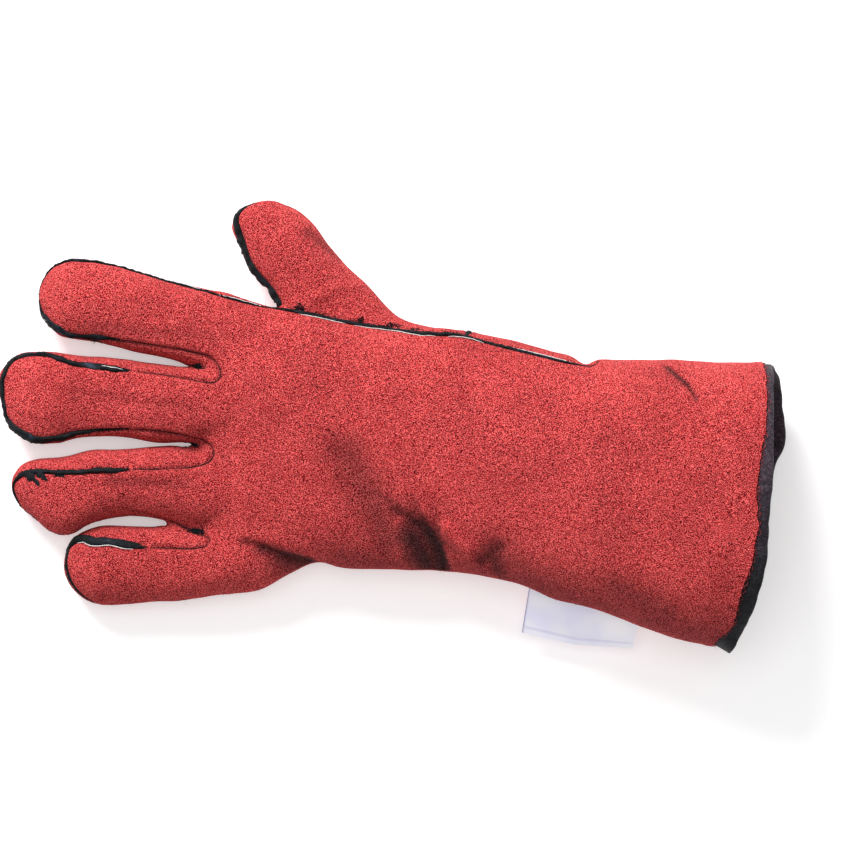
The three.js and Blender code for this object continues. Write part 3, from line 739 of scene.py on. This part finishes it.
def soften(path, passes, closed=False):
    for _ in range(passes):
        if closed:
            path = (np.roll(path, 1, axis=0) + 2 * path + np.roll(path, -1, axis=0)) / 4
        else:
            path[1:-1] = (path[:-2] + 2 * path[1:-1] + path[2:]) / 4
    return path


def seam_runs(panel, field):
    """Stretches of a panel's rim that lie on one seam, as paths of points with normals."""
    loop = panel.loops()[0]
    others = ["back", "mouth", "thumb", "thumb_top", *GUSSETS]
    size = np.abs(np.stack([panel.rows[loop, panel.COLUMNS.index(name)] for name in others]))
    on = np.argmin(size, axis=0) == others.index(field)
    for step in range(1, RUN_GAP):
        on |= np.roll(on, step) & np.roll(on, step - RUN_GAP)
    shift = int(np.argmin(on))
    loop, on = np.roll(loop, -shift), np.roll(on, -shift)
    starts = np.flatnonzero(np.diff(on.astype(int)) == 1) + 1
    ends = np.flatnonzero(np.diff(np.append(on, False).astype(int)) == -1) + 1
    runs = [panel.rows[loop[a:b], :6] for a, b in zip(starts, ends) if b - a > FEWEST_POINTS]
    runs = [soften(resample(run, 1.0), 4) for run in runs]
    return [run for run in runs if len(run) > SHORTEST_RUN]


def path_frame(path, closed=False):
    """Tangent, outward normal and sideways direction along a path."""
    spots = path[:, :3]
    if closed:
        tangent = np.roll(spots, -1, axis=0) - np.roll(spots, 1, axis=0)
    else:
        tangent = np.gradient(spots, axis=0)
    tangent /= np.linalg.norm(tangent, axis=1)[:, None]
    normal = path[:, 3:6] - (path[:, 3:6] * tangent).sum(axis=1)[:, None] * tangent
    normal /= np.linalg.norm(normal, axis=1)[:, None]
    return tangent, normal, np.cross(normal, tangent)


def sweep(spots, side, normal, section, closed=False):
    """Solid of a section carried along a path. section holds side and height for each spot and corner."""
    points = spots[:, None] + section[:, :, :1] * side[:, None] + section[:, :, 1:] * normal[:, None]
    size = section.shape[:2]
    return points.reshape(-1, 3), quads(*size, closed=True) if closed else tube_faces(*size)


def waves(positions, length, seed):
    """Smooth random numbers from -1 to 1 along a path."""
    offset = seed * 17.3
    return np.array([noise.noise(Vector((p / length, offset, 0.5))) for p in positions]) * 2


def to_row_frame(points):
    return (np.asarray(points) + SHIFT) * MM


def add_piece(name, points, faces, material, slot, *nodes, crease=50):
    points = np.array(points)
    points[:, 2] = np.maximum(points[:, 2], 0)
    mesh = new_mesh(name, to_row_frame(points), faces)
    mesh.validate()
    mesh.shade_smooth()
    mesh.set_sharp_from_angle(angle=math.radians(crease))
    mesh.materials.append(material)
    piece = add_object(name, mesh)
    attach(piece, "root")
    if nodes:
        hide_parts(*nodes)
    return piece


def near_paths(points, paths):
    """Distance from each point to the nearest of some finely stepped paths."""
    tree = tree_of(np.vstack([path[:, :3] for path in paths]))
    return np.array([tree.find(point)[2] for point in points])


def solid_of(skin, wall):
    """Closed wall under a piece of skin."""
    outer = skin.points
    inner = outer - skin.normals * wall
    count = len(outer)
    rim = skin.rim()
    side_a = np.stack([rim[:, 1], rim[:, 0], rim[:, 0] + count], axis=1)
    side_b = np.stack([rim[:, 1], rim[:, 0] + count, rim[:, 1] + count], axis=1)
    tris = np.vstack([skin.tris, skin.tris[:, ::-1] + count, side_a, side_b])
    return np.vstack([outer, inner]), tris


def sink_seams(skin, distance, share):
    """Turns the leather in at the seams and lets it swell a little beside them."""
    sink = GROOVE_DEPTH * np.exp(-((distance / GROOVE_REACH) ** 2))
    roll = ROLL_HEIGHT * np.exp(-(((distance - ROLL_PLACE) / ROLL_REACH) ** 2))
    moved = skin.points - skin.normals * (share * (sink - roll))[:, None]
    moved[:, 2] = np.maximum(moved[:, 2], 0)
    skin.rows[:, :3] = moved


def anchored(path, rows):
    """Columns of a table whose rows belong to places near a path, spread along the path."""
    rows = np.array(rows, float)
    spots = [int(np.argmin(np.hypot(path[:, 0] - x, path[:, 1] - y))) for x, y in rows[:, :2]]
    order = np.argsort(spots, kind="stable")
    at = np.array(spots)[order]
    return [np.interp(np.arange(len(path)), at, rows[order, column]) for column in range(2, rows.shape[1])]


def welt_profile(path, table, seed):
    """Half thickness, sideways wander and height of a welt along its path."""
    at = np.arange(len(path), dtype=float)
    thickness, height = anchored(path, table)
    half = thickness / 2 * (1 + 0.2 * waves(at, 12, seed + 2) + 0.2 * waves(at, 3, seed + 3))
    wander = 0.12 * thickness * waves(at, 6, seed + 4)
    height = height * (1 + 0.3 * waves(at, 9, seed) + 0.2 * waves(at, 2.2, seed + 1))
    return half, wander, height


def make_welt(name, strips, material, node, seed):
    """Strips of black leather in the seams, with rough outer edges. strips holds paths and tables."""
    solids = []
    shape = [(-1, None), (-1, 0.45), (-0.72, 0.93), (0, 1.04), (0.72, 0.93), (1, 0.45), (1, None)]
    for path, table in strips:
        _, normal, side = path_frame(path)
        at = np.arange(len(path), dtype=float)
        half, wander, height = welt_profile(path, table, seed)
        reach = min(WELT_TAPER, len(path) / 3)
        taper = smoothstep(0, reach, at) * smoothstep(0, reach, at[::-1])
        proud = height * taper - 0.6 * (1 - taper)
        section = np.zeros((len(path), len(shape), 2))
        for k, (out, up) in enumerate(shape):
            section[:, k, 0] = out * half + wander
            section[:, k, 1] = -WELT_ROOT if up is None else proud * up
        section[:, 1:-1] += WELT_ROUGHNESS * rng.standard_normal((len(path), len(shape) - 2, 2))
        solids.append(sweep(path[:, :3], side, normal, section))
    add_piece(name, *join_solids(solids), material, "black_welt", node)


def leftmost_y(run):
    return run[np.argmin(run[:, 0]), 1]


def whole_rim(panel):
    """A panel's longest rim as a closed path of points with normals."""
    rim = panel.rows[panel.loops()[0], :6]
    return soften(resample(rim, 1.0, closed=True), 4, closed=True)


def on_gusset_end(path):
    """Which points of a path lie on the short end of a gusset."""
    near = [segment_distance(path, np.array(row[:2]), np.array(row[2:])) for row in GUSSET_ENDS]
    return np.min(near, axis=0) < GUSSET_END_REACH


def without_gussets(part):
    for name in GUSSETS:
        part = part.where(-part.get(name) - PLAY)
    return part


def tape_width(points):
    """Width of the tape beyond the leather's edge, for places near the mouth."""
    on_back = smoothstep(0.2, 0.6, points[:, 2] / MOUTH_HEIGHT)
    return TAPE_WIDTH + on_back * (look_up(TAPE_ROWS, points[:, 1]) - TAPE_WIDTH)


def make_panels(skin):
    """The leather cut into its sewn panels, named like the nodes that they stand for."""
    uneven = EDGE_WAVINESS * noise_at(skin.points, EDGE_LENGTH)
    edge = skin.get("mouth") - tape_width(skin.points) + uneven
    leather = biggest(skin.where(edge))
    panels = {name: leather.where(leather.get(name) - PLAY) for name in GUSSETS}
    rest = without_gussets(leather)
    panels["back_panel"] = rest.where(rest.get("back") - PLAY)
    palm_side = rest.where(-rest.get("back") - PLAY)
    panels["palm_panel"] = palm_side.where(-palm_side.get("thumb") - PLAY)
    thumb = palm_side.where(palm_side.get("thumb") - PLAY)
    panels["thumb_outer"] = thumb.where(thumb.get("thumb_top") - PLAY)
    panels["thumb_inner"] = thumb.where(-thumb.get("thumb_top") - PLAY)
    return leather, {name: biggest(panel) for name, panel in panels.items()}


def round_section(radii, corners, flatness=1.0):
    """Section of a round strand, with a radius for each place along it."""
    angles = np.linspace(0, 2 * math.pi, corners, endpoint=False)
    return np.stack([np.outer(radii, np.cos(angles)), np.outer(radii, np.sin(angles)) * flatness], axis=2)


def tube(spots, side, normal, radius):
    """Round solid along a path, thin at its ends."""
    ends = np.sin(np.linspace(0.15, math.pi - 0.15, len(spots))) ** 0.4
    return sweep(spots, side, normal, round_section(radius * ends, 5))


def dashes(spots, side, normal, radius, longest):
    """Stretches of thread along a path, each diving into the leather at its ends."""
    pieces, start = [], DASH_MARGIN
    while start < len(spots) - 8:
        stop = min(start + int(rng.integers(longest // 4, longest)), len(spots) - DASH_MARGIN)
        if stop - start > DASH_MARGIN:
            part = slice(start, stop)
            dive = np.cos(np.linspace(-1, 1, stop - start) * math.pi / 2) ** 0.3
            sunk = spots[part] - normal[part] * (1 - dive)[:, None] * DIVE_DEPTH
            pieces.append(tube(sunk, side[part], normal[part], radius))
        start = stop + int(rng.integers(0, 4))
    return pieces


def make_thread(welts, seeds, material):
    """Pale sewing thread that shows on or beside the welts."""
    pieces = []
    for welt, from_x, to_x, lowest, beside, above, longest in THREADS:
        path = welts[welt]
        half, wander, height = welt_profile(path, WELTS[welt], seeds[welt])
        _, normal, side = path_frame(path)
        offset = wander + beside * (half + THREAD_RADIUS)
        lift = np.full(len(path), above) if beside else height * THREAD_RISE
        spots = path[:, :3] + side * offset[:, None] + normal * lift[:, None]
        inside = np.flatnonzero((path[:, 0] > from_x) & (path[:, 0] < to_x) & (path[:, 1] > lowest))
        part = slice(inside[0], inside[-1] + 1)
        spots, side, normal = spots[part], side[part], normal[part]
        pieces += dashes(spots, side, normal, THREAD_RADIUS, longest)
    add_piece("seam_thread", *join_solids(pieces), material, "white_label", crease=80)


def make_dark_thread(rims, material):
    """Dark sewing thread lying in the seams between the fingers and the back."""
    pieces = []
    for rim in rims:
        on_back = (rim[:, 5] > 0.05) & ~on_gusset_end(rim)
        start = int(np.argmin(on_back))
        rim, on_back = np.roll(rim, -start, axis=0), np.roll(on_back, -start)
        inside = np.flatnonzero(on_back)
        path = resample(rim[inside[0] : inside[-1] + 1], 0.8)
        _, normal, side = path_frame(path)
        spots = path[:, :3] - normal * (GROOVE_DEPTH - DARK_THREAD_LIFT)
        pieces += dashes(spots, side, normal, DARK_THREAD_RADIUS, 40)
    add_piece("dark_thread", *join_solids(pieces), material, "black_welt", crease=80)


def knot_fibres(skin, nearest):
    """Tufts of short fibre lying on the leather."""
    roots, normals, lengths = [], [], []
    for x, y, reach_x, reach_y, strands in KNOTS:
        for _ in range(strands):
            number = nearest(x + rng.normal(0, reach_x * 0.5), y + rng.normal(0, reach_y * 0.5))
            roots.append(skin.points[number])
            normals.append(skin.normals[number])
            lengths.append(rng.uniform(0.8, 2.2))
    roots, normals, lengths = np.array(roots), np.array(normals), np.array(lengths)
    directions = unit(rng.normal(0, 1, (len(roots), 3)) * [1.0, 0.6, 0.2] + 0.25 * normals)
    return fibres(roots + normals * 0.15, directions, -0.3 * normals, lengths, KNOT_FIBRE_RADIUS)


def torn_end(skin, nearest, from_x, from_y, to_x, to_y, radius):
    """Flat ragged strip that lies on the leather and thins out."""
    share = np.linspace(0, 1, SPUR_STEPS)
    wander = 0.35 * waves(share * SPUR_STEPS, 4, from_x)
    spots = [nearest(from_x + (to_x - from_x) * t, from_y + (to_y - from_y) * t) for t in share]
    path = np.hstack([skin.points[spots], skin.normals[spots]])
    path[:, 0] = from_x + (to_x - from_x) * share
    path[:, 1] = from_y + (to_y - from_y) * share + wander
    path = soften(path, 3)
    _, normal, side = path_frame(path)
    thick = radius * (1 - share) ** 0.8 * (1 + 0.3 * waves(share * SPUR_STEPS, 2, to_x))
    return sweep(path[:, :3] + normal * SPUR_LIFT, side, normal, round_section(thick, 6, SPUR_FLATNESS))


def make_tufts(skin, welts, material):
    """Black fibres and torn ends of the welts, lying on the leather round the seams."""
    top = np.flatnonzero(skin.normals[:, 2] > 0.1)
    tree = tree_of(skin.points[top] * [1, 1, 0])

    def nearest(x, y):
        return top[tree.find((x, y, 0))[1]]

    solids = [knot_fibres(skin, nearest)]
    solids += [torn_end(skin, nearest, *spur) for spur in SPURS]
    for welt, path in welts.items():
        stands = anchored(path, WELTS[welt])[1] > FRAY_HEIGHT
        solids.append(edge_fray(path, 1.6, 0.7, 1.2, 0.1, outward=0.6, where=stands))
    add_piece("welt_fibres", *join_solids(solids), material, "black_welt", crease=60)


def fibres(roots, directions, bends, lengths, radius):
    """Many thin tapering strands, each a closed three-sided spike."""
    steps, sides = 5, 3
    t = np.linspace(0, 1, steps)
    centre = roots[:, None] + (directions * lengths[:, None])[:, None] * t[None, :, None]
    centre += (bends * lengths[:, None])[:, None] * (t**2)[None, :, None]
    across = np.cross(directions, np.roll(directions, 1, axis=1) + [0.1, 0.2, 0.3])
    across /= np.linalg.norm(across, axis=1)[:, None]
    other = np.cross(directions, across)
    angle = np.linspace(0, 2 * math.pi, sides, endpoint=False)
    ring = across[:, None] * np.cos(angle)[None, :, None] + other[:, None] * np.sin(angle)[None, :, None]
    thin = (radius * (1 - 0.75 * t))[None, :, None, None]
    points = centre[:, :, None] + ring[:, None] * thin
    strand = tube_faces(steps, sides)
    starts = range(0, len(roots) * steps * sides, steps * sides)
    return points.reshape(-1, 3), [tuple(start + i for i in face) for start in starts for face in strand]


def edge_fray(path, density, length, spread, radius, closed=False, outward=0.35, where=None):
    """Loose fibres along a raw edge, pointing out of the leather. density counts them for each point."""
    _, normal, side = path_frame(path, closed=closed)
    choice = np.arange(len(path)) if where is None else np.flatnonzero(where)
    count = int(len(choice) * density)
    at = choice[rng.integers(0, len(choice), count)]
    roots = path[at, :3] + side[at] * 0.2 - normal[at] * rng.uniform(0.05, 1.0, count)[:, None]
    directions = unit(-side[at] + outward * normal[at] + rng.normal(0, spread, (count, 3)))
    bends = rng.normal(0, 0.45, (count, 3))
    lengths = length * rng.gamma(3.0, 0.33, count)
    return fibres(roots, directions, bends, lengths, radius)


def make_tape(path, material):
    """Textile tape round the mouth: folded double past the raw edge, its inner leg inside the leather."""
    _, normal, side = path_frame(path, closed=True)
    at = np.arange(len(path), dtype=float)
    width = tape_width(path) * (1 + 0.05 * waves(at, 14, TAPE_SEED) + 0.03 * waves(at, 5, TAPE_SEED + 1))
    lift = 0.45 * waves(at, 11, TAPE_SEED + 2) + 0.35 * waves(at, 4, TAPE_SEED + 3)
    lobe = np.exp(-(((path[:, 1] - LOBE_PLACE) / LOBE_REACH) ** 2)) * smoothstep(0.0, 0.6, -path[:, 4])
    lift += LOBE_HEIGHT * lobe
    top, bottom = TAPE_TOP, TAPE_BOTTOM
    leg = [
        (PLAY, -WALL - PLAY), (TAPE_LEG, -WALL - PLAY), (TAPE_LEG + 0.1, -WALL - 0.5),
        (TAPE_LEG - 0.1, bottom), (0, bottom),
    ]
    fold = [
        (-0.45, bottom - 0.05), (-0.84, bottom), (-0.96, bottom + 0.45), (-1.0, -1.85), (-0.97, -1.25),
        (-0.88, top - 0.08), (-0.6, top + 0.08), (-0.3, top + 0.04), (-0.08, top - 0.1), (-0.02, top - 0.3),
    ]
    section = np.zeros((len(path), len(leg) + len(fold), 2))
    section[:, : len(leg)] = leg
    for k, (across, height) in enumerate(fold, len(leg)):
        section[:, k, 0] = across * width
        section[:, k, 1] = height + lift * abs(across)
    points, faces = sweep(path[:, :3], side, normal, section, closed=True)
    piece = add_piece("cuff_tape", points, faces, material, "grey_tape", "cuff_binding", crease=60)
    # Painted shade: the tape darkens towards the little-finger side, which faces away from the light.
    set_painted_shade_and_marks(piece, smoothstep(-15, -75, points[:, 1]))


def make_binding_stitches(path, material):
    """Zigzag of red thread that holds the leather's edge down on the tape."""
    _, normal, side = path_frame(path, closed=True)
    at = np.arange(len(path), dtype=float)
    turn = at * STITCH_TURN
    swing = 0.9 + 0.75 * np.sin(turn + 1.5 * waves(at, 9, STITCH_SEED)) + 0.3 * waves(at, 3, STITCH_SEED + 1)
    height = 0.15 * np.cos(turn) + 0.1 * waves(at, 5, STITCH_SEED + 2) - 0.25
    spots = path[:, :3] - side * swing[:, None] + normal * height[:, None]
    pieces = dashes(spots, side, normal, STITCH_RADIUS, 26)
    piece = add_piece("binding_stitches", *join_solids(pieces), material, "red_suede", crease=80)
    set_painted_shade_and_marks(piece, 0.35)


def make_edge_fibres(mouth, runs, material):
    """Short red fibres on the leather's cut edges."""
    strands = [edge_fray(mouth, 5.0, 0.8, 0.7, 0.1, closed=True)]
    strands += [edge_fray(run, 1.6, 1.1, 0.45, 0.09) for run in runs]
    set_painted_shade_and_marks(add_piece("edge_fibres", *join_solids(strands), material, "red_suede"), 0)


def make_tag(material):
    """Blank tag caught in the seam on the little-finger side, a little curled."""
    low, high = (np.array(corner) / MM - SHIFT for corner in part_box("size_label"))
    first_x, last_x = TAG_FAR_EDGE[0][0], TAG_FAR_EDGE[-1][0]
    columns, rows = 60, 24
    u, v = np.meshgrid(np.linspace(0, 1, columns), np.linspace(0, 1, rows), indexing="ij")
    at = first_x + (last_x - first_x) * u
    x = at + TAG_SKEW * (1 - v)
    near_y = high[1] + (TAG_NEAR_RIGHT - high[1]) * u
    y = near_y + (look_up(TAG_FAR_EDGE, at) - near_y) * v
    z = high[2] + (low[2] - high[2]) * v**1.1
    z += 0.5 * np.sin(u * 5.1 + 0.7) * v + 0.25 * np.sin(u * 11 + v * 3) * v
    z += TAG_HEM * np.exp(-(((v - TAG_HEM_PLACE) / TAG_LINE_WIDTH) ** 2))
    top = np.stack([x, y, z], axis=2)
    rings = np.hstack([top, (top - [0, 0, TAG_THICKNESS])[:, ::-1]])
    faces = tube_faces(columns, 2 * rows)
    piece = add_piece("blank_tag", rings.reshape(-1, 3), faces, material, "white_label", "size_label")
    hem_line = 0.35 * np.exp(-(((v - TAG_HEM_LINE) / TAG_LINE_WIDTH) ** 2))
    line = np.maximum(1 - smoothstep(0.0, TAG_LINE_WIDTH, u), hem_line)
    set_painted_shade_and_marks(piece, np.hstack([line, line[:, ::-1]]).ravel())


def set_inputs(node, values):
    for name, value in values.items():
        node.inputs[name].default_value = value


class Material:
    """A Principled material with helpers that add linked nodes."""

    def __init__(self, name, roughness, specular=0.3, sheen=0.0):
        self.data = bpy.data.materials.new(name)
        self.data.use_nodes = True
        self.tree = self.data.node_tree
        self.shader = self.tree.nodes["Principled BSDF"]
        set_inputs(self.shader, {"Roughness": roughness, "Specular IOR Level": specular})
        set_inputs(self.shader, {"Sheen Weight": sheen, "Sheen Roughness": 0.5})
        self.place = self.tree.nodes.new("ShaderNodeTexCoord").outputs["Object"]

    def link(self, output, entry):
        self.tree.links.new(output, entry)

    def noise(self, scale, detail=2.0, roughness=0.5, distortion=0.0):
        node = self.tree.nodes.new("ShaderNodeTexNoise")
        set_inputs(node, {"Scale": scale, "Detail": detail, "Roughness": roughness, "Distortion": distortion})
        self.link(self.place, node.inputs["Vector"])
        return node.outputs["Fac"]

    def ramp(self, value, stops):
        node = self.tree.nodes.new("ShaderNodeValToRGB")
        while len(node.color_ramp.elements) < len(stops):
            node.color_ramp.elements.new(0.5)
        for element, (position, colour) in zip(node.color_ramp.elements, stops):
            element.position = position
            element.color = (*colour, 1.0)
        self.link(value, node.inputs["Fac"])
        return node.outputs["Color"]

    def multiply(self, first, second):
        node = self.tree.nodes.new("ShaderNodeMix")
        node.data_type = "RGBA"
        node.blend_type = "MULTIPLY"
        set_inputs(node, {"Factor": 1.0})
        self.link(first, node.inputs[6])
        self.link(second, node.inputs[7])
        return node.outputs[2]

    def blend(self, first, share, second):
        """Two textures added, the first by its share and the second by the rest."""
        total = self.tree.nodes.new("ShaderNodeMath")
        for entry, value, weight in zip(total.inputs, (first, second), (share, 1 - share)):
            part = self.tree.nodes.new("ShaderNodeMath")
            part.operation = "MULTIPLY"
            part.inputs[1].default_value = weight
            self.link(value, part.inputs[0])
            self.link(part.outputs[0], entry)
        return total.outputs[0]

    def attribute(self, name):
        node = self.tree.nodes.new("ShaderNodeAttribute")
        node.attribute_name = name
        return node.outputs["Fac"]

    def bump(self, height, strength, distance):
        node = self.tree.nodes.new("ShaderNodeBump")
        set_inputs(node, {"Strength": strength, "Distance": distance})
        self.link(height, node.inputs["Height"])
        self.link(node.outputs["Normal"], self.shader.inputs["Normal"])

    def colour(self, output):
        self.link(output, self.shader.inputs["Base Color"])


def red_suede():
    """Split cowhide with a coarse red nap: dark pits between bright tufts."""
    suede = Material("red_suede", roughness=0.95, specular=0.06, sheen=0.06)
    set_inputs(suede.shader, {"Sheen Tint": (1.0, 0.35, 0.33, 1.0)})
    grain = suede.noise(2600, detail=0.0, roughness=0.5, distortion=0.2)
    tufts = suede.noise(620, detail=1.0, roughness=0.5, distortion=0.5)
    patches = suede.noise(45, detail=3.0, roughness=0.55)
    stain = suede.noise(11, detail=2.0, roughness=0.5)
    nap = suede.blend(grain, 0.93, tufts)
    nap_colour = suede.ramp(nap, [
        (0.36, (0.05, 0.004, 0.006)), (0.445, (0.35, 0.015, 0.019)), (0.51, (0.66, 0.036, 0.043)),
        (0.61, (0.95, 0.160, 0.155)),
    ])
    patch_colour = suede.ramp(patches, [(0.3, (0.80, 0.76, 0.78)), (0.7, WHITE)])
    stain_colour = suede.ramp(stain, [(0.35, (0.9, 0.88, 0.88)), (0.65, WHITE)])
    # Painted shade from the folds, the seams' grooves and the little-finger side darkens the nap here, as does
    # a fixed darkening of the binding stitches.
    painted_darkening = suede.ramp(suede.attribute("painted_shade_and_marks"), [(0.0, WHITE), (1.0, (0.05, 0.24, 0.26))])
    shaded = suede.multiply(suede.multiply(nap_colour, patch_colour), stain_colour)
    suede.colour(suede.multiply(shaded, painted_darkening))
    suede.bump(nap, 0.9, 0.0011)
    return suede.data


def black_leather():
    """Dyed welt leather: near black, with blue-grey patches painted in as highlights of its sheen."""
    welt = Material("black_welt", roughness=0.7, specular=0.16)
    grain = welt.noise(900, detail=3.0, roughness=0.6)
    painted_sheen_patches = welt.noise(85, detail=4.0, roughness=0.65)
    # The lightest, blue-grey stop is a painted highlight.
    colour = welt.ramp(painted_sheen_patches, [
        (0.45, (0.0015, 0.003, 0.004)), (0.62, (0.004, 0.007, 0.011)), (0.76, (0.035, 0.05, 0.075)),
    ])
    welt.colour(colour)
    welt.bump(grain, 0.6, 0.0005)
    return welt.data


def woven_tape():
    """Charcoal textile tape with a fine rib."""
    tape = Material("charcoal_tape", roughness=0.95, specular=0.1, sheen=0.15)
    fuzz = tape.noise(1500, detail=3.0, roughness=0.7)
    patches = tape.noise(70, detail=3.0, roughness=0.55)
    threads = tape.noise(650, detail=1.0, roughness=0.5)
    weave = tape.blend(fuzz, 0.7, threads)
    fibre = tape.ramp(weave, [
        (0.3, (0.008, 0.007, 0.009)), (0.5, (0.035, 0.026, 0.035)), (0.72, (0.13, 0.09, 0.115)),
    ])
    patch = tape.ramp(patches, [(0.3, (0.75, 0.75, 0.78)), (0.7, (1.15, 1.1, 1.12))])
    # Painted shade where the tape turns away from the light
    dark = tape.ramp(tape.attribute("painted_shade_and_marks"), [(0.0, WHITE), (1.0, (0.22, 0.32, 0.30))])
    tape.colour(tape.multiply(tape.multiply(fibre, patch), dark))
    tape.bump(weave, 0.7, 0.0005)
    return tape.data


def satin():
    """Thin pale satin for the blank tag."""
    tag = Material("pale_satin", roughness=0.45, specular=0.4, sheen=0.2)
    cloudy = tag.noise(45, detail=2.0)
    weave = tag.noise(2600, detail=1.0)
    cloth = tag.ramp(cloudy, [(0.35, (0.82, 0.82, 0.98)), (0.65, WHITE)])
    line = tag.ramp(tag.attribute("painted_shade_and_marks"), [(0.0, WHITE), (1.0, (0.25, 0.20, 0.34))])
    set_inputs(tag.shader, {"Emission Color": (0.8, 0.8, 1.0, 1.0), "Emission Strength": TAG_GLOW})
    tag.colour(tag.multiply(cloth, line))
    tag.bump(weave, 0.4, 0.0002)
    return tag.data


def pale_thread():
    """Twisted white sewing thread, a little soiled."""
    thread = Material("pale_thread", roughness=0.7, specular=0.3)
    twist = thread.noise(1400, detail=2.0)
    thread.colour(thread.ramp(twist, [(0.35, (0.42, 0.42, 0.44)), (0.65, (0.86, 0.85, 0.83))]))
    thread.bump(twist, 0.5, 0.0002)
    return thread.data


def floor_paint():
    """Pale matt floor with a faint glow, so that it comes close to the photo's white."""
    paint = Material("pale_floor", roughness=0.9, specular=0.1)
    cloudy = paint.noise(3.0, detail=2.0)
    shade = paint.ramp(cloudy, [(0.3, (0.86, 0.86, 0.87)), (0.7, (0.88, 0.88, 0.88))])
    paint.colour(shade)
    paint.link(shade, paint.shader.inputs["Emission Color"])
    set_inputs(paint.shader, {"Emission Strength": FLOOR_GLOW})
    return paint.data


def set_painted_shade_and_marks(piece, values):
    """Painted shade and other dark marks at each point, from 0 to 1, or one value for the whole piece."""
    layer = piece.data.attributes.new("painted_shade_and_marks", "FLOAT", "POINT")
    layer.data.foreach_set("value", np.array(np.broadcast_to(values, len(layer.data)), dtype=np.float32))


def add_camera():
    """Looks straight down on the back of the hand, as the photo does."""
    data = bpy.data.cameras.new("camera")
    data.sensor_width = SENSOR
    data.lens = SENSOR * CAMERA_HEIGHT / VIEW_WIDTH
    data.clip_end = 20
    camera = add_object("camera", data)
    camera.location = to_row_frame((*VIEW_CENTRE, CAMERA_HEIGHT))
    bpy.context.scene.camera = camera


def add_light(name, place, size, energy, colour):
    """Round soft light aimed at the glove. place and size are in metres."""
    data = bpy.data.lights.new(name, "AREA")
    data.shape = "DISK"
    data.size = size
    data.energy = energy
    data.color = colour
    light = add_object(name, data)
    light.location = place
    light.rotation_euler = (-Vector(place)).to_track_quat("-Z", "Y").to_euler()


def add_surroundings():
    """Pale floor, soft lights from above and the thumb side, and a dim white room."""
    floor = new_mesh("floor", [(-3, -3, 0), (3, -3, 0), (3, 3, 0), (-3, 3, 0)], [(0, 1, 2, 3)])
    floor.materials.append(floor_paint())
    plane = add_object("floor", floor)
    plane.location.z = -0.0002
    add_light("key", (-0.7, 1.5, 1.15), 1.1, KEY_POWER, (1.0, 0.98, 0.96))
    add_light("top", (-0.1, 0.2, 2.2), 1.4, TOP_POWER, WHITE)
    world = bpy.data.worlds.new("room")
    world.use_nodes = True
    set_inputs(world.node_tree.nodes["Background"], {"Color": (*WHITE, 1.0), "Strength": ROOM_LIGHT})
    bpy.context.scene.world = world
    bpy.context.scene.view_settings.view_transform = "Standard"


def make_leather(panels, seams, gusset_rims, material):
    """The suede panels, sunk in at their seams, with shade painted into their colour there and in the folds."""
    plain_seams = [rim[on_gusset_end(rim)] for rim in gusset_rims]
    for name, panel in panels.items():
        near = near_paths(panel.points, seams)
        plain = near_paths(panel.points, plain_seams) < near + GUSSET_END_MARGIN
        plain = plain * smoothstep(-0.7, -0.4, panel.normals[:, 2])
        sink_seams(panel, near, 1 - plain)
        piece = add_piece(name + "_suede", *solid_of(panel, WALL), material, "red_suede", name)
        # Painted shade: a dark line in each seam's groove, and darkening over the folds where the leather faces
        # up
        painted_shade_and_marks = np.exp(-((near / SEAM_SHADE_REACH) ** 2)) * SEAM_SHADE * (1 - plain)
        facing = smoothstep(-0.2, 0.4, panel.normals[:, 2])
        painted_shade_and_marks = np.maximum(painted_shade_and_marks, fold_table(panel.points)[1] * facing)
        set_painted_shade_and_marks(piece, np.concatenate([painted_shade_and_marks, painted_shade_and_marks]))


def dress_glove():
    """All pieces of the glove, the leather first, because the rest follows its seams."""
    suede, leather, tape = red_suede(), black_leather(), woven_tape()
    skin = divide(*make_skin())
    whole, panels = make_panels(skin)
    back_runs = seam_runs(panels["back_panel"], "back")
    thumb_runs = seam_runs(panels["thumb_outer"], "thumb_top")
    base_runs = seam_runs(panels["palm_panel"], "thumb")
    gusset_rims = [whole_rim(panels[name]) for name in GUSSETS]
    mouth = soften(resample(whole.rows[whole.loops()[0], :6], 1.2, closed=True), 10, closed=True)
    seams = [resample(run, 0.5) for run in back_runs + thumb_runs + base_runs + gusset_rims]
    make_leather(panels, seams, gusset_rims, suede)
    back_runs = sorted(back_runs, key=leftmost_y, reverse=True)
    welts = dict(zip(("index", "middle", "ring", "little"), back_runs))
    seeds = {name: 1 + 7 * number for number, name in enumerate(welts)}
    for name, run in welts.items():
        make_welt("welt_" + name + "_leather", [(run, WELTS[name])], leather, "welt_" + name, seeds[name])
    base = max(base_runs, key=len)
    base = base[(base[:, 0] > BASE_WELT_X) & (base[:, 2] > BASE_WELT_Z)]
    strips = [(run, WELTS["thumb"]) for run in thumb_runs] + [(base, BASE_WELT)]
    make_welt("welt_thumb_leather", strips, leather, "welt_thumb", THUMB_WELT_SEED)
    make_thread(welts, seeds, pale_thread())
    make_dark_thread(gusset_rims, leather)
    make_tufts(skin, welts, leather)
    make_tape(mouth, tape)
    make_binding_stitches(mouth, suede)
    make_edge_fibres(mouth, back_runs + thumb_runs, suede)
    make_tag(satin())


dress_glove()
add_surroundings()
add_camera()
